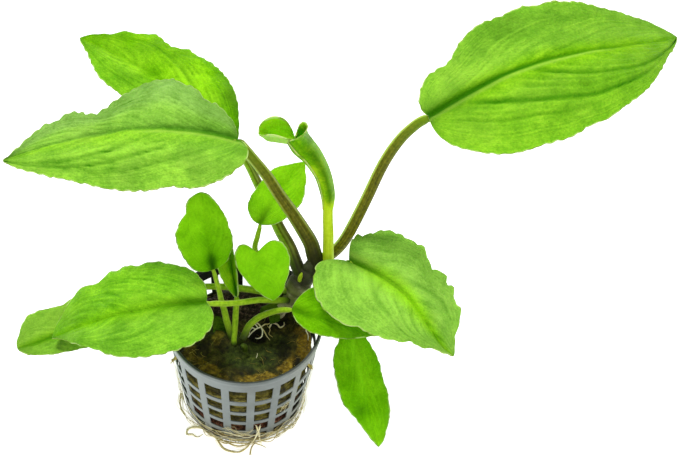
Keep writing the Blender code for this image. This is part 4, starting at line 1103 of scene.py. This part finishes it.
def stalk_part(name):
    """One stalk with its fields, run on into the stem and under its blade."""
    spec = STALKS[name]
    points = [np.array(p, float) for p in spec["route"]]
    start = points[1] - points[0]
    points.insert(0, points[0] - start / np.linalg.norm(start) * spec.get("reach", 2.2))
    radii = [spec["radius"][0] * 1.12, *spec["radius"]]
    if name in BLADES:
        length, along, _, up = blade_axes(BLADES[name])
        base = np.array(BLADES[name]["base"], float)
        end = radii[-1]
        points += [base - up * 0.85 * end, base + along * 0.05 * length - up * (0.3 + 0.5 * end)]
        radii.append(0.5 * end)
    part = tube_part(smooth_route(points, 5), radii, STALK_SIDES)
    fields = part[2]
    angle = np.arctan2(fields["side"], fields["front"])
    margins = np.radians(spec.get("margins", (-65, 65)))
    line = np.max([smooth_step(0.97, 0.997, np.cos(angle - margin)) for margin in margins], axis=0)
    inside = (angle > min(margins)) & (angle < max(margins))
    green = inside != spec.get("green_outside", False)
    green_top = spec.get("green_top", 0.5)
    fields["line"] = line * 0.8
    fields["wing"] = np.where(green & (angle < 0), 1.0, 0.0)
    fields["lime"] = np.full(len(angle), float(spec.get("lime", False)))
    fields["top"] = 0.8 * smooth_step(green_top, min(green_top + 0.4, 1.0), fields["along"])
    # foot is painted shade at the stalk's base
    fields["foot"] = smooth_step(spec.get("foot", 0.2), 0.02, fields["along"]) * 0.95
    return part


def stalks(brown_finish, green_finish):
    """Every leaf stalk as its own piece."""
    for name, spec in STALKS.items():
        dress = ("brown_stalk", brown_finish) if spec.get("brown") else ("green_stalk", green_finish)
        place(add_mesh(f"stem_of_{name}", *stalk_part(name)), *dress, f"stalk_{name}")


def small_shoots(finish):
    """The crown bud, the side shoot and the green stub."""
    for name, route, radii, node, dark, lime, slot in SHOOTS:
        part = tube_part(smooth_route(route, 5), radii, SHOOT_SIDES)
        # foot darkens the whole shoot as painted shade
        for key, level in (("wing", 1.0), ("foot", dark), ("lime", lime)):
            part[2][key] = np.full(len(part[0]), level)
        place(add_mesh(name, *part), slot, finish, node)


def creeping_stem(finish):
    """The creeping stem, with leaf scars and a lip beside each."""
    points = smooth_route(RHIZOME_ROUTE, 14)
    walked = np.concatenate([[0], np.cumsum(np.linalg.norm(np.diff(points, axis=0), axis=1))])
    turn = (walked / SCAR_SPACING) % 1.0
    scar, lip = hump(turn, 0.5, 0.12), hump(turn, 0.78, 0.1)
    part = tube_part(points, stretch(RHIZOME_RADIUS, len(points)) * (1 - SCAR_DEPTH * scar), STEM_SIDES)
    for key, level in (("ring", scar), ("lip", lip)):
        part[2][key] = np.concatenate([np.repeat(level, STEM_SIDES), (0.0, 0.0)])
    x, y, z = part[0].T
    lumps = 0.2 * ripples(x + z, y, 3.0, 31) + 0.12 * ripples(x - z, y, 1.1, 32)
    part[0][:, :2] += (lumps * part[2]["front"])[:, None]
    return place(add_mesh("stem_creeping", *part), "stem", finish, "rhizome")


def rolled_leaf(finish):
    """The young blade: a sheet rolled into a tube that flares into a wavy rim with an ear."""
    route = smooth_route(ROLLED_ROUTE, 8)
    angle = np.linspace(-1.9, math.tau - 0.9, 60)
    swell = 0.08 * (angle - angle[0]) / math.tau
    swell = 1 + swell * smooth_step(0.0, 0.3, np.linspace(0, 1, len(route)))[:, None]
    points, along = wrap(route, angle, stretch(ROLLED_RADIUS, len(route))[:, None] * swell)
    rim_angle = np.radians([at for at, _ in ROLLED_RIM])
    rim_point = np.array([point for _, point in ROLLED_RIM])
    rim_at = np.stack([np.interp(angle, rim_angle, rim_point[:, k], period=math.tau) for k in range(3)], 1)
    mouth = points[-1]
    u = np.linspace(0, 1, 11)[1:, None, None]
    flare = (1 - u) ** 2 * mouth + 2 * u * (1 - u) * (mouth + along[-1] * 3) + u ** 2 * rim_at
    points = np.concatenate([points, flare])
    s = np.linspace(0, 1, len(points))[:, None].repeat(len(angle), 1)
    a = np.broadcast_to(angle, s.shape)
    side = np.minimum(a - angle[0], angle[-1] - a) * 3.0
    rise = np.concatenate([np.full(len(route), 9.0), np.linspace(9, 0, 10)])[:, None]
    fields = young_fields(s, np.cos(a), np.minimum(side, rise))
    # dark: a darker band that winds across the front, and painted shade along the overlap of the sheet
    band = hump(a, 0.35 - 0.45 * s, 0.38) + 0.8 * hump(a, -1.35, 0.22)
    tone = 0.4 * smooth_step(0.3, 0.0, s) + 0.05 * hump(a, -0.75, 0.4)
    # painted shade under the rim, left of the front
    tone = tone - 0.08 * hump(a, -0.6, 0.7) * smooth_step(0.5, 0.8, s)
    # the ear's inside is lightened as painted light passing through it, and the flare is a little darkened
    tone = tone + (0.4 * hump(a, 2.8, 0.8) - 0.06) * smooth_step(0.7, 0.95, s)
    # pale is a painted highlight along the right flank
    for key, level in (("dark", 0.6 * band * smooth_step(0.08, 0.35, s) * smooth_step(0.05, 0.35, 1 - s)),
                       ("pale", 0.85 * hump(a, 0.95, 0.45) * smooth_step(0.15, 0.35, s)),
                       ("tone", tone), ("fresh", 0.15 * smooth_step(0.15, 0.4, s))):
        fields[key] = level.ravel()
    faces = grid_faces(np.arange(s.size).reshape(s.shape))
    obj = add_mesh("leaf_rolled_young", points.reshape(-1, 3), faces, fields)
    thicken(obj, 0.35)
    return place(obj, "young_leaf", finish, "blade_rolled_young")


def young_fields(t, v, edge):
    """The fields that the leaf finish reads, on a young blade."""
    zero = np.zeros(t.size)
    fields = dict.fromkeys(("hollow", "pale", "dark", "under", "tone", "bloom", "ridge"), zero)
    return dict(fields, t=t.ravel(), v=v.ravel() * 0.4, flow=v.ravel() * 0.3, edge=np.abs(edge).ravel(),
                leaf=zero + 30, fresh=zero + 0.5, mottle=zero + 0.7)


def thicken(obj, thickness, offset=0.0):
    """Turn an open sheet into a closed one."""
    shell = obj.modifiers.new("shell", "SOLIDIFY")
    shell.thickness = thickness * MM
    shell.offset = offset
    shell.use_even_offset = True
    return shell


def loft(name, rails, thickness, **levels):
    """A sheet through rails that have as many points each, pale between the first two.

    levels are fields that are the same all over it."""
    fine = np.array([smooth_route(rail, 8) for rail in rails])
    rows = np.array([smooth_route(fine[:, k], 8) for k in range(fine.shape[1])])
    shape = rows.shape[:2]
    t = np.linspace(0, 1, shape[0])[:, None].repeat(shape[1], 1)
    v = np.linspace(-1, 1, shape[1])[None, :].repeat(shape[0], 0)
    fields = young_fields(t, v, (1 - np.abs(v)) * 4)
    fields["pale"] = 0.7 * smooth_step(-0.35, -0.6, v).ravel()
    for key, level in levels.items():
        fields[key] = np.full(v.size, level)
    obj = add_mesh(name, rows.reshape(-1, 3), grid_faces(np.arange(v.size).reshape(shape)), fields)
    thicken(obj, thickness)
    return obj


def hood(finish):
    """The spoon beyond the rolled leaf's rim: a low pale near wall and a tall green far one."""
    near, keel, back = (np.array(rail) for rail in (HOOD_NEAR, HOOD_KEEL, HOOD_BACK))
    gap = np.linalg.norm(back - keel, axis=1)[:, None]
    far_keel = keel + gap * (0, 0.3, -0.04)
    far_wall = (far_keel + back) / 2 + gap * (0, 0.12, -0.04)
    # tone=0.2 lightens the whole hood as painted light
    obj = loft("leaf_rolled_hood", (near, keel, far_keel, far_wall, back), 0.4, tone=0.2)
    return place(obj, "young_leaf", finish, "blade_rolled_hood")


def foot_strands(rng):
    """Thin strands that wrap the foot of the wall, each on its own wandering way."""
    parts = []
    for _ in range(FOOT_STRANDS):
        start, span = rng.uniform(-165, -70), rng.uniform(35, 80)
        turn = np.radians(np.linspace(start, min(start + span, -22), 8))
        z = np.clip(rng.uniform(0.6, 7.5) + rng.normal(0, 0.8, 8), 0.25, 9)
        radius = wall_radius(z) + 0.35 + np.abs(rng.normal(0, 0.4, 8)) + 1.1 * (z < 0.9)
        route = np.stack([radius * np.cos(turn), radius * np.sin(turn), z], 1)
        thick = rng.uniform(0.07, 0.17)
        radii = (thick, thick, 0.9 * thick, 0.4 * thick)
        parts.append(tube_part(smooth_route(route, 5), radii, ROOTLET_SIDES, rng.uniform(0.0, 1.1)))
    return parts


def root_network(finish):
    """Pale roots round the foot and up the wall, each in place of its plain one."""
    rng = np.random.default_rng(5)
    for name, (thick, hairs, spread, *routes) in ROOTS.items():
        parts = foot_strands(rng) if name == "root_2" else []
        radii = (thick, 0.95 * thick, 0.8 * thick, 0.3 * thick)
        for route in routes:
            points = np.array([(*p, 0.5)[:3] for p in route])
            parts.append(tube_part(smooth_route(points, 6), radii, ROOT_SIDES, rng.uniform(0.4, 0.8)))
            for _ in range(hairs):
                hair = points + rng.normal(0, spread, points.shape) * (1, 1, 0.5)
                hair[:, 2] = np.maximum(hair[:, 2], 0.15)
                parts.append(tube_part(smooth_route(hair, 4), (0.07, 0.06, 0.02), HAIR_SIDES,
                                       rng.uniform(0.3, 1.1)))
        place(add_mesh(f"tangle_{name}", *join_parts(parts)), "root", finish, name)


def floor_and_light():
    """A white floor, an even white surround and two soft lamps."""
    corners = np.array(((-1, -1, 0), (1, -1, 0), (1, 1, 0), (-1, 1, 0))) * FLOOR_HALF / MM
    floor = add_mesh("floor", corners, [(0, 1, 2, 3)])
    floor.location.z = -0.0001
    floor.data.materials.append(floor_finish())
    world = bpy.data.worlds.new("surround")
    world.use_nodes = True
    surround = world.node_tree.nodes["Background"]
    surround.inputs["Color"].default_value = (0.97, 0.985, 1.0, 1.0)
    surround.inputs["Strength"].default_value = 0.5
    bpy.context.scene.world = world
    for name, at, size, watts in LAMPS:
        lamp = bpy.data.lights.new(name, "AREA")
        lamp.shape = "DISK"
        lamp.size = size
        lamp.energy = watts
        holder = bpy.data.objects.new(name, lamp)
        holder.location = at
        holder.rotation_euler = (Vector(LAMP_AIM) - Vector(at)).to_track_quat("-Z", "Y").to_euler()
        bpy.context.scene.collection.objects.link(holder)


def add_camera():
    """The photo's camera."""
    lens = bpy.data.cameras.new("camera")
    lens.lens = CAMERA_LENS
    lens.sensor_width = 36.0
    lens.sensor_fit = "HORIZONTAL"
    lens.clip_start = 0.01
    lens.clip_end = 20.0
    camera = bpy.data.objects.new("camera", lens)
    tilt = Matrix.Rotation(math.radians(90 - CAMERA_DOWN), 4, "X")
    roll = Matrix.Rotation(math.radians(CAMERA_ROLL), 4, "Z")
    camera.matrix_world = Matrix.Translation(CAMERA_PLACE) @ tilt @ roll
    bpy.context.scene.collection.objects.link(camera)
    bpy.context.scene.camera = camera


def build():
    """Make every piece."""
    add_camera()
    floor_and_light()
    bpy.context.scene.view_settings.view_transform = "Standard"
    green = leaf_finish("leaf", (0.135, 0.385, 0.001), (0.205, 0.495, 0.003), (0.32, 0.65, 0.01))
    young = leaf_finish("young leaf", (0.1, 0.33, 0.001), (0.22, 0.48, 0.003), (0.42, 0.64, 0.012), 0.5)
    net_pot(pot_finish())
    wool_plug(wool_finish())
    wool_strands(fibre_finish("wool strand", (0.0, (0.02, 0.018, 0.004)), (0.5, (0.1, 0.07, 0.008)),
                              (0.8, (0.3, 0.2, 0.02)), (1.0, (0.5, 0.42, 0.1))))
    for number, name in enumerate(BLADES, 1):
        dress = ("young_leaf", young) if name == "folded_young" else ("leaf", green)
        place(blade(name, number), *dress, f"blade_{name}")
    stalk_green = stalk_finish("green stalk", False)
    stalks(stalk_finish("brown stalk", True), stalk_green)
    creeping_stem(stem_finish())
    small_shoots(stalk_green)
    rolled_leaf(young)
    hood(young)
    root_skin = fibre_finish("root", (0.0, (0.1, 0.045, 0.008)), (0.5, (0.6, 0.5, 0.17)),
                             (1.0, (0.95, 0.92, 0.66)))
    root_network(root_skin)
    rootlets(root_skin)
    old_leaves(leaf_finish("old leaf", (0.02, 0.05, 0.003), (0.055, 0.13, 0.007), (0.12, 0.22, 0.012)))


build()
